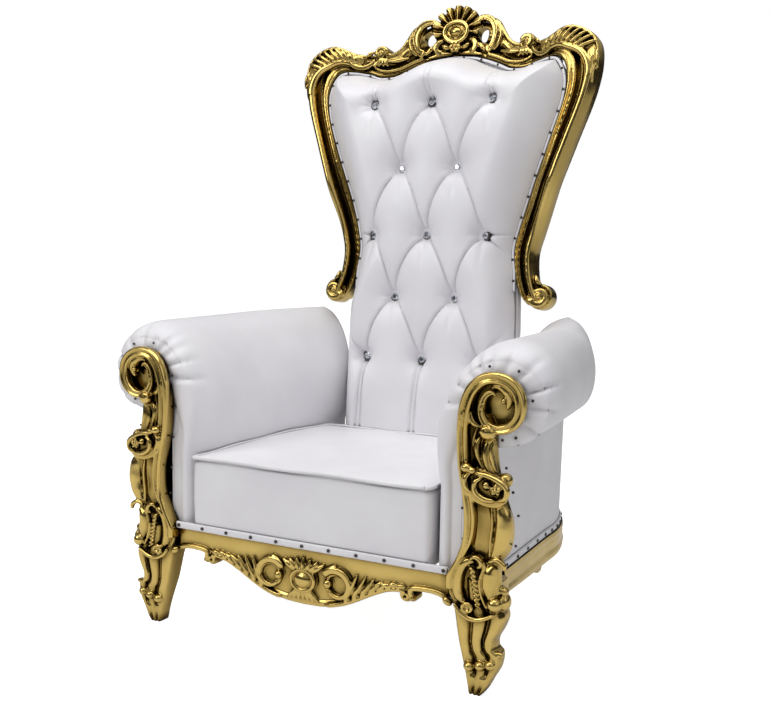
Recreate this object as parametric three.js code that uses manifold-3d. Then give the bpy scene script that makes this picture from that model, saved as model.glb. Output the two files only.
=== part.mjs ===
// A carved and gilded throne with a tall buttoned back, rolled arms and scrolled front posts.
// Millimetres, +Z up, the sitter faces -Y. Outlines are given for the right half (+X) and mirrored.
import * as THREE from "three";
import { mergeVertices } from "three/addons/utils/BufferGeometryUtils.js";
import Module from "manifold-3d";

const wasm = await Module();
wasm.setup();

// Driving sizes
const CENTRE_Y = 61.5;          // moves the middle of the throne's depth to y = 0
const GAP = 0.35;               // clearance between pieces that touch
const LEAN = Math.atan(0.115);
const BACK_Y = 355;             // front plane of the back frame at the height of the arms
const BACK_Z = 867;
const PAD_PUFF = 52;            // how far the pad stands out at its lower edge
const BUTTON_RADIUS = 12;
const RAIL_TOP = 265;
const RAIL_LOW = 200;
const WELT_HEIGHT = 18;
const SEAT_TOP = 462;
const SEAT_FRONT = -382;
const SEAT_HALF_WIDTH = 336;
const SIDE_X = 478;             // outer face of the arm panels
const ARM_INNER_X = 340;
const ARM_FRONT = -366;
const POST_FRONT = -385;
const SCROLL = { x: 486, z: 662, radius: 72 };
const APRON_FRONT = -374;

// Materials
const finish = (color, roughness, metalness) =>
  new THREE.MeshStandardMaterial({ color, roughness, metalness });
const gold = finish(0xc39a3c, 0.3, 1.0);
const leatherette = finish(0xece9ec, 0.5, 0.0);
const crystal = finish(0xd8dce2, 0.1, 0.6);

// Curves and solids
const at = (x, z, y = 0) => new THREE.Vector3(x, y, z);
const spline = (pairs) => new THREE.CatmullRomCurve3(pairs.map(([x, z]) => at(x, z)), false, "centripetal");
const ease = (t) => t * t * (3 - 2 * t);

function signedVolume(position, index) {
  const [a, b, c] = [new THREE.Vector3(), new THREE.Vector3(), new THREE.Vector3()];
  let volume = 0;
  for (let i = 0; i < index.count; i += 3) {
    a.fromBufferAttribute(position, index.getX(i));
    b.fromBufferAttribute(position, index.getX(i + 1));
    c.fromBufferAttribute(position, index.getX(i + 2));
    volume += a.dot(b.cross(c));
  }
  return volume;
}

// A closed three.js geometry as a manifold solid with its faces turned out
function solid(geometry) {
  const bare = geometry.clone();
  bare.deleteAttribute("normal");
  bare.deleteAttribute("uv");
  const merged = mergeVertices(bare, 1e-3);
  const triVerts = new Uint32Array(merged.index.array);
  if (signedVolume(merged.attributes.position, merged.index) < 0) triVerts.reverse();
  const vertProperties = new Float32Array(merged.attributes.position.array);
  return new wasm.Manifold(new wasm.Mesh({ numProp: 3, vertProperties, triVerts }));
}

function geometryOf(manifold) {
  const mesh = manifold.getMesh();
  const geometry = new THREE.BufferGeometry();
  geometry.setAttribute("position", new THREE.BufferAttribute(mesh.vertProperties, 3));
  geometry.setIndex(new THREE.BufferAttribute(mesh.triVerts, 1));
  geometry.computeVertexNormals();
  return geometry;
}

const union = (solids) => solids.reduce((whole, next) => whole.add(next));

// The outer skins only: pockets shut in between overlapping ornaments are filled
const filled = (manifold) => union(manifold.decompose().filter((part) => part.volume() > 0));

function mirrored(manifold) {
  return solid(geometryOf(manifold).scale(-1, 1, 1));
}

// Moves every vertex of a geometry to place(x, y, z)
function reshape(geometry, place) {
  const position = geometry.attributes.position;
  for (let i = 0; i < position.count; i += 1) {
    const point = place(position.getX(i), position.getY(i), position.getZ(i));
    position.setXYZ(i, point.x, point.y, point.z);
  }
  return geometry;
}

// A band between two edge curves in the XZ plane. The section has x from 0 (first edge) to 1
// (second edge) and y as the height towards the front, in millimetres.
function band(first, second, section, steps, lift = () => 1) {
  const outline = new THREE.Shape(section.map(([x, y]) => new THREE.Vector2(x, y)));
  const geometry = new THREE.ExtrudeGeometry(outline, { depth: 1, steps, bevelEnabled: false });
  return solid(reshape(geometry, (x, y, z) => {
    const point = first.getPoint(z).lerp(second.getPoint(z), x);
    point.y = -(y > 0 ? y * lift(z) : y);
    return point;
  }));
}

// A rod with a varying half width along a curve in the XZ plane, standing off the ground plane
// by its own half height
function rod(curve, halfWidth, { steps = 8, sides = 3, flat = 1, y = 0 } = {}) {
  const geometry = new THREE.CylinderGeometry(1, 1, 1, sides, steps, false, Math.PI)
    .rotateX(Math.PI / 2);
  return solid(reshape(geometry, (x, up, z) => {
    const t = THREE.MathUtils.clamp(z + 0.5, 0, 1);
    const point = curve.getPoint(t);
    const along = curve.getTangent(t);
    const reach = halfWidth(t);
    point.x += -along.z * x * reach;
    point.z += along.x * x * reach;
    point.y = y - up * reach * flat;
    return point;
  }));
}

// A leaf or lobe: a rod that swells from a thin root to a round tip
const lobe = (pairs, width, options = {}) =>
  rod(spline(pairs), (t) => Math.max(0.12, Math.sin(Math.PI * (0.08 + 0.84 * t ** 0.8))) * width,
    { steps: 2, ...options });

const boss = (x, z, halfX, halfZ, height, y = 0, sides = 7) =>
  solid(new THREE.SphereGeometry(1, sides, 3)
    .rotateX(Math.PI / 2).scale(halfX, height, halfZ).translate(x, y, z));

const ring = (x, z, halfX, halfZ, thick, y = 0) =>
  solid(new THREE.TorusGeometry(1, thick / halfX, 4, 12)
    .rotateX(Math.PI / 2).scale(halfX, halfX, halfZ).translate(x, y, z));

const disc = (x, z, radius, front, back, sides = 12) =>
  solid(new THREE.CylinderGeometry(radius, radius * 0.94, back - front, sides)
    .translate(x, (front + back) / 2, z));

// A spiral in the XZ plane that winds in from `radius` at `start` over `turns`; hand 1 winds
// anticlockwise seen from the front
function spiral(x, z, radius, inner, start, turns, hand) {
  const points = [];
  const count = Math.ceil(turns * 10);
  for (let i = 0; i <= count; i += 1) {
    const t = i / count;
    const reach = radius + (inner - radius) * t ** 0.8;
    const angle = start + hand * t * turns * 2 * Math.PI;
    points.push([x + Math.cos(angle) * reach, z + Math.sin(angle) * reach]);
  }
  return spline(points);
}

// A small curl: a disc with an eye
const curl = (x, z, radius, front, back) =>
  disc(x, z, radius, front, back, 9).add(boss(x, z, radius * 0.5, radius * 0.5, radius * 0.6, front, 6));

// A volute: a disc, a spiral rim on it and an eye
function volute({ x, z, radius, front, back, rim, start, hand, turns = 1.4 }) {
  const winding = spiral(x, z, radius - rim, rim * 1.2, start, turns, hand);
  return union([
    disc(x, z, radius, front, back),
    rod(winding, (t) => rim * (1 - 0.45 * t), { steps: Math.ceil(turns * 8), y: front }),
    boss(x, z, rim * 1.35, rim * 1.35, rim * 1.6, front),
  ]);
}

// The back. Its pieces are drawn at their real heights in an upright plane and then leaned back.
const INNER_EDGE = [
  [306, 842], [285, 864], [262, 925], [254, 1000], [265, 1060], [297, 1167], [344, 1302],
  [382, 1432], [385, 1485], [372, 1530], [356, 1547], [336, 1554], [308, 1554], [276, 1553],
  [237, 1541], [190, 1546], [145, 1567], [70, 1593], [-2, 1602],
];
const OUTER_EDGE = [
  [336, 868], [329, 893], [320, 930], [316, 990], [330, 1050], [370, 1167], [421, 1315],
  [466, 1450], [478, 1530], [470, 1583], [436, 1616], [384, 1631], [332, 1615], [290, 1602],
  [240, 1614], [190, 1620], [152, 1658], [100, 1697], [-2, 1722],
];
const BAND_SECTION = [
  [0, -46], [0, 10], [0.14, 4], [0.42, 6], [0.62, 23], [0.74, 20], [1, -8], [1, -46],
];
const innerEdge = spline(INNER_EDGE);
const outerEdge = spline(OUTER_EDGE);
const onFrame = (t, across) => innerEdge.getPoint(t).lerp(outerEdge.getPoint(t), across);

// How far the back bends out of its plane: the crest to the rear and the wings to the front
const share = (value, from, to) => ease(THREE.MathUtils.clamp((value - from) / (to - from), 0, 1));
const bow = (x, z) => 60 * share(Math.abs(x), 430, 0) * share(z, 1300, 1560)
  - 36 * share(Math.abs(x), 250, 380) * share(z, 1030, 1210);
const bowed = (manifold) =>
  solid(reshape(geometryOf(manifold), (x, y, z) => at(x, z, y + bow(x, z))));

function shellCrest() {
  const centre = 1670;
  const lobes = [-3, -2, -1, 0, 1, 2, 3].map((k) => {
    const angle = k * 24 * Math.PI / 180;
    const out = (reach) => [Math.sin(angle) * reach, centre + Math.cos(angle) * reach];
    return lobe([out(26), out(60), out(90)], 15, { y: -14, flat: 1.1 });
  });
  const sides = [-1, 1];
  return union([
    ...lobes,
    disc(0, centre, 70, -16, 40, 14),
    ring(0, centre, 37, 30, 8, -26),
    boss(0, centre, 27, 20, 14, -26),
    boss(0, 1624, 16, 15, 16, -18),
    ...sides.map((side) => lobe([[side * 14, 1624], [side * 40, 1634], [side * 56, 1624]], 10, { y: -12 })),
    ...sides.map((side) => lobe([[side * 10, 1612], [side * 44, 1610], [side * 86, 1600]], 9, { y: -8 })),
  ]);
}

function crestSide() {
  const hook = spline([[46, 1676], [80, 1704], [118, 1692], [131, 1656], [121, 1618], [104, 1612]]);
  const sweep = spline([[98, 1704], [138, 1682], [160, 1648], [186, 1620], [226, 1610]]);
  const leaves = [];
  for (let i = 0; i < 5; i += 1) {
    const t = (12.3 - 0.8 * i) / 18;
    const root = onFrame(t + 0.012, 0.34);
    const tip = onFrame(t - 0.012, 0.98);
    const middle = onFrame(t, 0.7);
    leaves.push(lobe([[root.x, root.z], [middle.x, middle.z], [tip.x, tip.z]], 10.5, { y: -15 }));
  }
  return union([
    rod(hook, (t) => 10 - 4 * t, { steps: 8, y: -8 }),
    rod(sweep, (t) => 12 - 5 * t, { steps: 6, y: -6 }),
    curl(240, 1615, 24, -20, 40),
    curl(302, 1587, 17, -18, 40),
    ...leaves,
  ]);
}

function frameHalf() {
  const hole = new THREE.CylinderGeometry(18, 18, 200, 12).scale(1, 1, 1.15);
  const piercing = solid(hole.translate(89, 0, 1658));
  const foot = volute({
    x: 338, z: 868, radius: 37, front: -20, back: 46, rim: 9, start: Math.PI, hand: 1,
  });
  return union([band(innerEdge, outerEdge, BAND_SECTION, 24), foot, crestSide()]).subtract(piercing);
}

// The crest is thinner than the rest of the frame, so that its piercings are seen through
function backFrame() {
  const right = frameHalf();
  const relief = solid(new THREE.BoxGeometry(250, 60, 160).translate(0, 50, 1692));
  return union([right, mirrored(right), shellCrest()]).subtract(relief);
}

const BUTTON_ROWS = [
  { z: 1420, xs: [-189, 0, 189] }, { z: 1229, xs: [-89, 89] }, { z: 1034, xs: [-180, 0, 180] },
  { z: 850, xs: [-97, 97] }, { z: 667, xs: [-183, 0, 183] },
];
const buttons = BUTTON_ROWS.flatMap(({ z, xs }) => xs.map((x) => ({ x, z })));
const PAD_EDGE = [
  [258, 288], [264, 470], [268, 700], [264, 820], [259, 880], [258, 925], [250, 1000],
  [261, 1060], [293, 1167], [340, 1302], [378, 1432], [377, 1490], [348, 1540],
];
const PAD_TOP = [
  [0, 1594], [70, 1585], [145, 1558], [190, 1537], [237, 1533], [278, 1544], [348, 1540],
];

const padEdge = spline(PAD_EDGE);
const padTop = spline(PAD_TOP);
const PAD_LOW = PAD_EDGE[0][1];
const PAD_HIGH = PAD_EDGE.at(-1)[1];
const PAD_CORNER = PAD_EDGE.at(-1)[0];
const DIMPLE = { depth: 30, spread: 46 };

// How far the pad stands forward at a point that lies `inside` millimetres within its edge
function padDepth(x, z, inside) {
  const slope = 60 + 60 * share(z, 800, 1000);   // width over which the pad rises from its edge
  const crown = Math.sin(Math.PI / 2 * THREE.MathUtils.clamp(inside / slope, 0, 1)) ** 0.8;
  const pull = (b) => Math.exp(-((x - b.x) ** 2 + (z - b.z) ** 2) / DIMPLE.spread ** 2);
  const dimple = buttons.reduce((sum, b) => sum + pull(b), 0);
  const swell = 1 + 1.58 * (z - PAD_LOW) / (PAD_HIGH - PAD_LOW);
  return 4 + (PAD_PUFF * swell + bow(x, z) - DIMPLE.depth * Math.min(1, dimple)) * crown;
}

// The pad's half width at a height
function padReach(z) {
  let [low, high] = [0, 1];
  for (let i = 0; i < 20; i += 1) {
    const middle = (low + high) / 2;
    if (padEdge.getPoint(middle).z < z) low = middle;
    else high = middle;
  }
  return padEdge.getPoint(low).x;
}

// A place on the pad's outline: across runs from -1 to 1 and along from 0 at the foot to 1
const PAD_COLUMNS = 8;
const PAD_ROWS = 14;

function padPlace(across, along) {
  const corner = padEdge.getPoint(along);
  const rise = padTop.getPoint(Math.min(1, Math.abs(across) * corner.x / PAD_CORNER)).z - PAD_HIGH;
  const point = at(corner.x * across, corner.z + rise * along ** 8);
  const inside = Math.min((1 - Math.abs(across)) * corner.x, PAD_HIGH + rise - point.z);
  return { point, inside };
}

// The pad: a grid of rows between its right edge and the mirrored left one, crowned and dimpled
function backPad() {
  const geometry = new THREE.BoxGeometry(2, 1, 1, PAD_COLUMNS, 1, PAD_ROWS);
  return solid(reshape(geometry, (across, y, up) => {
    const { point, inside } = padPlace(across, up + 0.5);
    point.y = bow(point.x, point.z) + (y < 0 ? -padDepth(point.x, point.z, inside) : 8 - GAP);
    return point;
  }));
}

// The shell behind the pad, on the same grid with one more column and row round it. It is built
// upside down, so that its front is split into the same triangles as the pad's rear.
function backShell() {
  const [wide, tall] = [2 + 4 / PAD_COLUMNS, 1 + 1 / PAD_ROWS];
  const geometry = new THREE.BoxGeometry(wide, 1, tall, PAD_COLUMNS + 2, 1, PAD_ROWS + 1);
  return solid(reshape(geometry, (across, y, up) => {
    const along = tall / 2 - up;
    const { point } = padPlace(THREE.MathUtils.clamp(across, -1, 1), Math.min(1, along));
    if (Math.abs(across) > 1.01) point.x += 7 * Math.sign(across);
    if (along > 1.01) point.z += 8;
    point.y = bow(point.x, point.z) + (y < 0 ? 8 : 38);
    return point;
  }));
}

// A button at its height on the upright back, and the round seat that it leaves in the pad
function button({ x, z }) {
  const y = 5 + bow(x, z) - padDepth(x, z, padReach(z) - Math.abs(x));
  return boss(x, z, BUTTON_RADIUS, BUTTON_RADIUS, 9, y, 8);
}

function buttonSeat({ x, z }) {
  const y = 5 + bow(x, z) - padDepth(x, z, padReach(z) - Math.abs(x));
  return disc(x, z, BUTTON_RADIUS * 1.25, y - 60, y + 9 + GAP, 6);
}

// The seat end: arms, seat, rails, posts and legs, in world axes
const armInner = new THREE.CatmullRomCurve3([
  at(ARM_INNER_X, 0, ARM_FRONT), at(ARM_INNER_X, 0, -150), at(338, 0, 0), at(324, 0, 120),
  at(302, 0, 215), at(283, 0, 308),
]);
const armOuter = new THREE.CatmullRomCurve3([
  at(SIDE_X, 0, ARM_FRONT), at(SIDE_X, 0, -180), at(SIDE_X, 0, 0), at(SIDE_X, 0, 120),
  at(456, 0, 222), at(402, 0, 336),
]);
const ARM_THICK = SIDE_X - ARM_INNER_X;
const ARM_STEPS = 10;
const ARM_LEAN_FROM = 300;      // above this height the rear end of the arm leans with the back
const ARM_SPACING = 1.5;        // draws the steps closer together towards the rounded front
const ARM_SECTION = [
  [0, 266], [0, ARM_LEAN_FROM], [0, 462], [-7, 500], [-12, 560], [-10, 612], [2, 655], [22, 700], [54, 745],
  [96, 778], [146, 794], [196, 790], [240, 765], [266, 725], [275, 685], [270, 645], [252, 612],
  [222, 592], [186, 581], [152, 574], [ARM_THICK, 562], [ARM_THICK, ARM_LEAN_FROM],
  [ARM_THICK, 266],
];

// A section drawn as [distance from the inner face, height] and carried round the arm's plan
function alongArm(section, steps, adjust) {
  const outline = new THREE.Shape(section.map(([x, y]) => new THREE.Vector2(x, y)));
  const geometry = new THREE.ExtrudeGeometry(outline, { depth: 1, steps, bevelEnabled: false });
  return solid(reshape(geometry, (x, y, z) => {
    const { across, height, along } = adjust(x, y, z);
    const inner = armInner.getPoint(along);
    const reach = armOuter.getPoint(along).sub(inner).multiplyScalar(across / ARM_THICK);
    const point = inner.add(reach);
    point.y += Math.tan(LEAN) * Math.max(0, height - ARM_LEAN_FROM) * share(along, 0.6, 1);
    point.z = height;
    return point;
  }));
}

function arm() {
  return alongArm(ARM_SECTION, ARM_STEPS, (x, y, z) => {
    const along = z ** ARM_SPACING;
    const swell = 1 - 0.13 * (1 - Math.min(1, z * 4.5)) ** 2;
    const taper = 1 - 0.62 * ease(along);
    const over = x > ARM_THICK ? ARM_THICK + (x - ARM_THICK) * taper : x;
    const across = 118 + (over - 118) * swell;
    const height = y > 480 ? 480 + (y - 480) * swell * (1 + 0.05 * along) : y;
    return { across, height, along };
  });
}

function sideRail() {
  const top = RAIL_TOP - GAP;
  const section = [[98, 205], [98, top], [148, top], [150, 235], [144, 214], [140, 205]];
  const rail = alongArm(section, 14, (x, y, z) => {
    const along = 0.0745 + 0.9255 * z;
    const drop = y > 210 ? 0 : 14 * Math.sin(Math.PI * z) - 10 * ease(z);
    return { across: x, height: y - drop, along };
  });
  const outline = new THREE.Shape([[-64, 212], [-30, 186], [-6, 172], [38, 166], [44, 212]]
    .map(([x, y]) => new THREE.Vector2(x, y)));
  const geometry = new THREE.ExtrudeGeometry(outline, { depth: 30, bevelEnabled: false });
  const drop = solid(geometry.rotateX(Math.PI / 2).rotateZ(Math.PI / 2).translate(442, 0, 0));
  return rail.add(drop);
}

// Front posts. Edges run from the scroll down; x is measured from the middle of the throne.
const POST_INNER = [
  [412, 655], [403, 600], [406, 530], [418, 460], [424, 410], [421, 350], [406, 310], [385, 268],
  [384, 240],
];
const POST_OUTER = [
  [474, 640], [490, 600], [491, 560], [500, 505], [516, 455], [533, 400], [529, 345], [508, 305],
  [512, 240],
];
const POST_REAR = -18.6;        // how far behind the front plane the posts end
const POST_SECTION = [
  [0, POST_REAR], [0, 32], [0.12, 38], [0.26, 12], [0.42, 2], [0.78, 18], [1, 0], [1, POST_REAR],
];
const LEG_INNER = [
  [384, 264.6], [385, 235], [394, 200], [399, 178], [404, 150], [411, 116], [416, 96], [419, 82],
  [425, 60], [431, 38], [437, 14], [440, 0],
];
const LEG_OUTER = [
  [508, 264.6], [512, 235], [512, 205], [519, 182], [511, 155], [498, 128], [500, 112], [512, 102],
  [510, 70], [495, 40], [480, 12], [470, 0],
];
const LEG_SECTION = [
  [0.06, -50], [0, -20], [0.12, 4], [0.36, -6], [0.54, 6], [0.7, -6], [0.86, 6], [1, -14], [0.92, -50],
];

// The grooved body, the leg and the scroll at the top, with a ball and two leaves at its neck
function postBody() {
  const { x, z, radius } = SCROLL;
  const scroll = { rim: 15, start: Math.PI, hand: -1, turns: 1.5 };
  return [
    band(spline(POST_INNER), spline(POST_OUTER), POST_SECTION, 10),
    band(spline(LEG_INNER), spline(LEG_OUTER), LEG_SECTION, 11, (t) => 1 - 0.6 * ease(t)),
    volute({ x, z, radius, front: -12, back: -POST_REAR, ...scroll }),
    boss(466, 602, 20, 19, 20, -6),
    lobe([[456, 596], [452, 560], [458, 512]], 10, { y: -6 }),
    lobe([[478, 590], [482, 556], [492, 516]], 12, { y: -6 }),
  ];
}

// The oval cartouche halfway up, and the long leaf and stem below it
function postCartouche() {
  const under = spline([[421, 532], [424, 500], [444, 466], [480, 448], [514, 462]]);
  const stem = spline([[470, 448], [474, 400], [466, 350], [458, 318]]);
  return [
    rod(under, (t) => 9 - 2 * t, { y: -16, steps: 9 }),
    boss(474, 492, 42, 24, 22, -8),
    boss(514, 482, 15, 17, 18, -4),
    lobe([[424, 528], [450, 522], [492, 512]], 9, { y: -16 }),
    lobe([[440, 512], [452, 492], [462, 468]], 9, { y: -20 }),
    lobe([[488, 446], [512, 402], [510, 352], [490, 318]], 22, { y: -6, flat: 0.8, steps: 7 }),
    rod(stem, () => 5, { y: -4, steps: 6 }),
  ];
}

// The beads and the two scrolls in front of the seat rail, and the balls at the ankle
function postKnee() {
  const beads = [0, 1, 2, 3].map((i) => boss(453 + 5 * i, 292 - 22 * i, 11, 9, 10, -6, 6));
  const inner = spline([[452, 312], [418, 302], [394, 262], [402, 220], [436, 204]]);
  const outer = spline([[500, 310], [478, 296], [480, 256], [496, 226]]);
  return [
    ...beads,
    rod(inner, (t) => 11 - 2 * t, { y: -6, steps: 9 }),
    rod(outer, (t) => 14 - 4 * t, { y: -4, steps: 8 }),
    boss(436, 208, 15, 15, 18, -6),
    boss(500, 224, 18, 18, 20, -4),
    boss(451, 72, 14, 13, 12, 0),
    boss(479, 78, 13, 12, 12, 2),
  ];
}

function frontPost() {
  const post = union([...postBody(), ...postCartouche(), ...postKnee()]);
  return solid(geometryOf(post).translate(0, POST_FRONT, 0));
}

const APRON_LOW = [
  [-2, 124], [60, 128], [110, 142], [150, 160], [190, 181], [230, 198], [262, 203], [290, 208],
  [338, 215], [365, 211], [383.6, 203],
];
const APRON_TOP = APRON_LOW.map(([x]) => [x, RAIL_TOP - GAP]);

function apronHalf() {
  const leaves = [];
  for (let i = 0; i < 4; i += 1) {
    const x = 122 + 33 * i;
    leaves.push(lobe([[x, 150 + 15 * i], [x + 13, 196 + 7 * i], [x + 29, 228 - 4 * i]], 11, { y: -4 }));
  }
  const lower = spline(APRON_LOW.slice(1, 7).map(([x, z]) => [x, z + 5]));
  const arch = spline(APRON_LOW.slice(6).map(([x, z]) => [x, z + 5]));
  const scroll = [];
  for (let i = 0; i <= 8; i += 1) {
    const angle = (160 - 34 * i) * Math.PI / 180;
    const reach = 42 - 1.6 * i;
    scroll.push([93 + Math.cos(angle) * reach, 188 + Math.sin(angle) * reach * 0.95]);
  }
  return union([
    band(spline(APRON_LOW), spline(APRON_TOP), [[0, -34], [0, 6], [0.1, 2], [1, 2], [1, -34]], 12),
    rod(lower, () => 5, { steps: 6, y: -5 }),
    rod(arch, () => 6, { steps: 4, y: -5 }),
    rod(spline(scroll), (t) => 10 - 5 * t, { steps: 10, y: -5 }),
    boss(62, 188, 13, 13, 14, -3),
    curl(277, 197, 16, -9, 34),
    ...leaves,
  ]);
}

function frontApron() {
  const right = apronHalf();
  const fans = [-2, -1, 0, 1, 2].flatMap((k) => [
    lobe([[k * 8, 208], [k * 17, 226], [k * 25, 245 - 6 * Math.abs(k)]], 9, { y: -4 }),
    lobe([[k * 6, 166], [k * 12, 150], [k * 18, 133]], 8, { y: -4 }),
  ]);
  const centre = [ring(0, 188, 31, 25, 6, -6), boss(0, 188, 25, 19, 14, -4)];
  const whole = union([right, mirrored(right), ...fans, ...centre]);
  return solid(geometryOf(whole).translate(0, APRON_FRONT, 0));
}

const box = (x0, x1, y0, y1, z0, z1) =>
  solid(new THREE.BoxGeometry(x1 - x0, y1 - y0, z1 - z0)
    .translate((x0 + x1) / 2, (y0 + y1) / 2, (z0 + z1) / 2));

function seatCushion() {
  const front = [[SEAT_HALF_WIDTH, SEAT_FRONT], [SEAT_HALF_WIDTH, -20]];
  const right = [...front, [322, 100], [299, 190], [289, 226]];
  const corners = [...right, ...right.map(([x, y]) => [-x, y]).reverse()];
  const outline = new THREE.Shape(corners.map(([x, y]) => new THREE.Vector2(x, y)));
  const edge = 12;
  const bottom = RAIL_TOP + GAP;
  const depth = SEAT_TOP - bottom - 2 * edge;
  const bevel = { bevelThickness: edge, bevelSize: edge, bevelOffset: -edge, bevelSegments: 2 };
  const geometry = new THREE.ExtrudeGeometry(outline, { depth, ...bevel });
  return solid(geometry.translate(0, 0, bottom + edge));
}

function rearLeg() {
  const geometry = new THREE.BoxGeometry(1, 1, 1, 1, 1, 3);
  return solid(reshape(geometry, (x, y, z) => {
    const down = 0.5 - z;
    const width = 54 - 14 * down;
    const rake = 300 + 26 * down ** 1.5;
    return new THREE.Vector3(228 - 18 * down + x * width, rake + y * width, (RAIL_LOW - GAP) * (1 - down));
  }));
}

function welt() {
  const half = 383;
  return box(-half, half, SEAT_FRONT - 6.4, SEAT_FRONT - GAP, RAIL_TOP + GAP, RAIL_TOP + WELT_HEIGHT);
}

const sideWelt = () => alongArm(
  [[ARM_THICK + GAP, RAIL_TOP + GAP], [ARM_THICK + GAP, RAIL_TOP + WELT_HEIGHT],
    [ARM_THICK + 6, RAIL_TOP + WELT_HEIGHT], [ARM_THICK + 6, RAIL_TOP + GAP]],
  ARM_STEPS,
  (x, y, z) => ({ across: x, height: y, along: z ** ARM_SPACING }),
);

// Takes `cutter`, widened by the gap, out of `piece`
function cleared(piece, cutter) {
  const steps = [[0, 0, 0], ...[-GAP, GAP].flatMap((g) => [[g, 0, 0], [0, g, 0], [0, 0, g]])];
  return steps.reduce((rest, step) =>
    rest.subtract(solid(geometryOf(cutter).translate(...step))), piece);
}

// Assembly
const throne = new THREE.Group();
throne.name = "throne";
throne.position.y = -CENTRE_Y;
const back = new THREE.Group();
back.position.set(0, BACK_Y, BACK_Z);
back.rotation.x = -LEAN;
throne.add(back);

function addPiece(parent, name, manifold, material) {
  const mesh = new THREE.Mesh(geometryOf(filled(manifold)), material);
  mesh.name = name;
  parent.add(mesh);
  return mesh;
}

function addPair(name, manifold, material) {
  addPiece(throne, `${name}_right`, manifold, material);
  addPiece(throne, `${name}_left`, mirrored(manifold), material);
}

// Stretches a piece drawn at its real heights so that it keeps them once it leans back
const stretched = (manifold) =>
  solid(geometryOf(manifold).translate(0, 0, -BACK_Z).scale(1, 1, 1 / Math.cos(LEAN)));
const leaned = (manifold) =>
  solid(geometryOf(manifold).rotateX(-LEAN).translate(0, BACK_Y, BACK_Z));

const frame = stretched(bowed(backFrame()));
const shell = cleared(stretched(backShell()), frame);
const pad = buttons.map(buttonSeat).reduce((rest, hole) => rest.subtract(hole), backPad());
const studs = buttons.map((place) => stretched(button(place)));
addPiece(back, "back_frame", frame, gold);
addPiece(back, "back_shell", shell, leatherette);
addPiece(back, "back_pad", stretched(pad), leatherette);
studs.forEach((stud, i) => addPiece(back, `tuft_button_${String(i + 1).padStart(2, "0")}`, stud, crystal));

addPair("front_post", frontPost(), gold);
addPair("arm", cleared(arm(), leaned(shell)), leatherette);
addPair("side_rail", sideRail(), gold);
addPair("side_welt", sideWelt(), leatherette);
addPair("rear_leg", rearLeg(), gold);
addPiece(throne, "front_apron", frontApron(), gold);
addPiece(throne, "back_rail", box(-362, 362, 274, 328, RAIL_LOW, RAIL_TOP - GAP), gold);
addPiece(throne, "seat_cushion", seatCushion(), leatherette);
addPiece(throne, "front_welt", welt(), leatherette);

export default throne;
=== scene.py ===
"""A gilded throne with white buttoned upholstery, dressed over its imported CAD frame.

Shapes are worked out in millimetres, in the part's own axes, and turned into metres at the end.
"""
import math

import bmesh
import bpy
import numpy as np
from mathutils import Matrix, Vector


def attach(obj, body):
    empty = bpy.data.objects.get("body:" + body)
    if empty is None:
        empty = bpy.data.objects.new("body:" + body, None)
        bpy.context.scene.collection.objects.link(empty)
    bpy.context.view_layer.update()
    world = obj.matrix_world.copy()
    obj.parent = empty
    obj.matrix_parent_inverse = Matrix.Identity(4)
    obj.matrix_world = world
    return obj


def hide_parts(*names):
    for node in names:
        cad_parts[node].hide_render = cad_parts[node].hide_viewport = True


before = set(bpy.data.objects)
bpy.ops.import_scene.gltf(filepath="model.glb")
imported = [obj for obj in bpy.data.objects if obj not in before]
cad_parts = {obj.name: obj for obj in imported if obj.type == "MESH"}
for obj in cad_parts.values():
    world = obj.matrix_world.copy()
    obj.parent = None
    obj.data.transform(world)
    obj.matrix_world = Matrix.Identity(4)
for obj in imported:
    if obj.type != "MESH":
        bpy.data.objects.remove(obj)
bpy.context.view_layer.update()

# Driving sizes, in millimetres, the same as the part's
CENTRE_Y = 61.5
LEAN = math.atan(0.115)
BACK_Y, BACK_Z = 355.0, 867.0
PAD_PUFF = 52.0
RAIL_TOP = 265.0
SEAT_TOP = 462.0
SEAT_FRONT = -382.0
SIDE_X, ARM_INNER_X = 478.0, 340.0
ARM_FRONT = -366.0
ARM_THICK = SIDE_X - ARM_INNER_X
POST_FRONT = -385.0
SCROLL_X, SCROLL_Z, SCROLL_RADIUS = 486.0, 662.0, 72.0
APRON_FRONT = -374.0
BUTTON_DIMPLE = 30.0            # how far the part draws its own pad in at a button

# Sizes of this script alone
APRON_DEPTH = 34.0
POST_DEPTH = 18.6
GAP = 0.4                       # clearance between pieces that touch
WELT_MIDDLE = RAIL_TOP + 9.0
METRE = 1000.0
SIDES = ((1, "right"), (-1, "left"))

# The photograph's standpoint, in the part's own axes
CAMERA_TURN = (26.93, -5.85, 0.97)      # yaw, pitch and roll in degrees
CAMERA_PLACE = (1.221, -2.363, 0.9755)  # metres
LENS, SENSOR = 45.77, 36.0              # millimetres


def new_object(name, data):
    piece = bpy.data.objects.new(name, data)
    bpy.context.scene.collection.objects.link(piece)
    return piece


def add_camera():
    yaw, pitch, roll = map(math.radians, CAMERA_TURN)
    data = bpy.data.cameras.new("camera")
    data.sensor_width = SENSOR
    data.lens = LENS
    camera = new_object("camera", data)
    forward = Vector((-math.sin(yaw) * math.cos(pitch), math.cos(yaw) * math.cos(pitch), math.sin(pitch)))
    right = Vector((math.cos(yaw), math.sin(yaw), 0.0))
    up = right.cross(forward)
    rolled_right = right * math.cos(roll) + up * math.sin(roll)
    rolled_up = up * math.cos(roll) - right * math.sin(roll)
    axes = Matrix((rolled_right, rolled_up, -forward)).transposed()
    place = Vector(CAMERA_PLACE) - Vector((0, CENTRE_Y / METRE, 0))
    camera.matrix_world = Matrix.Translation(place) @ axes.to_4x4()
    bpy.context.scene.camera = camera


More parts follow.
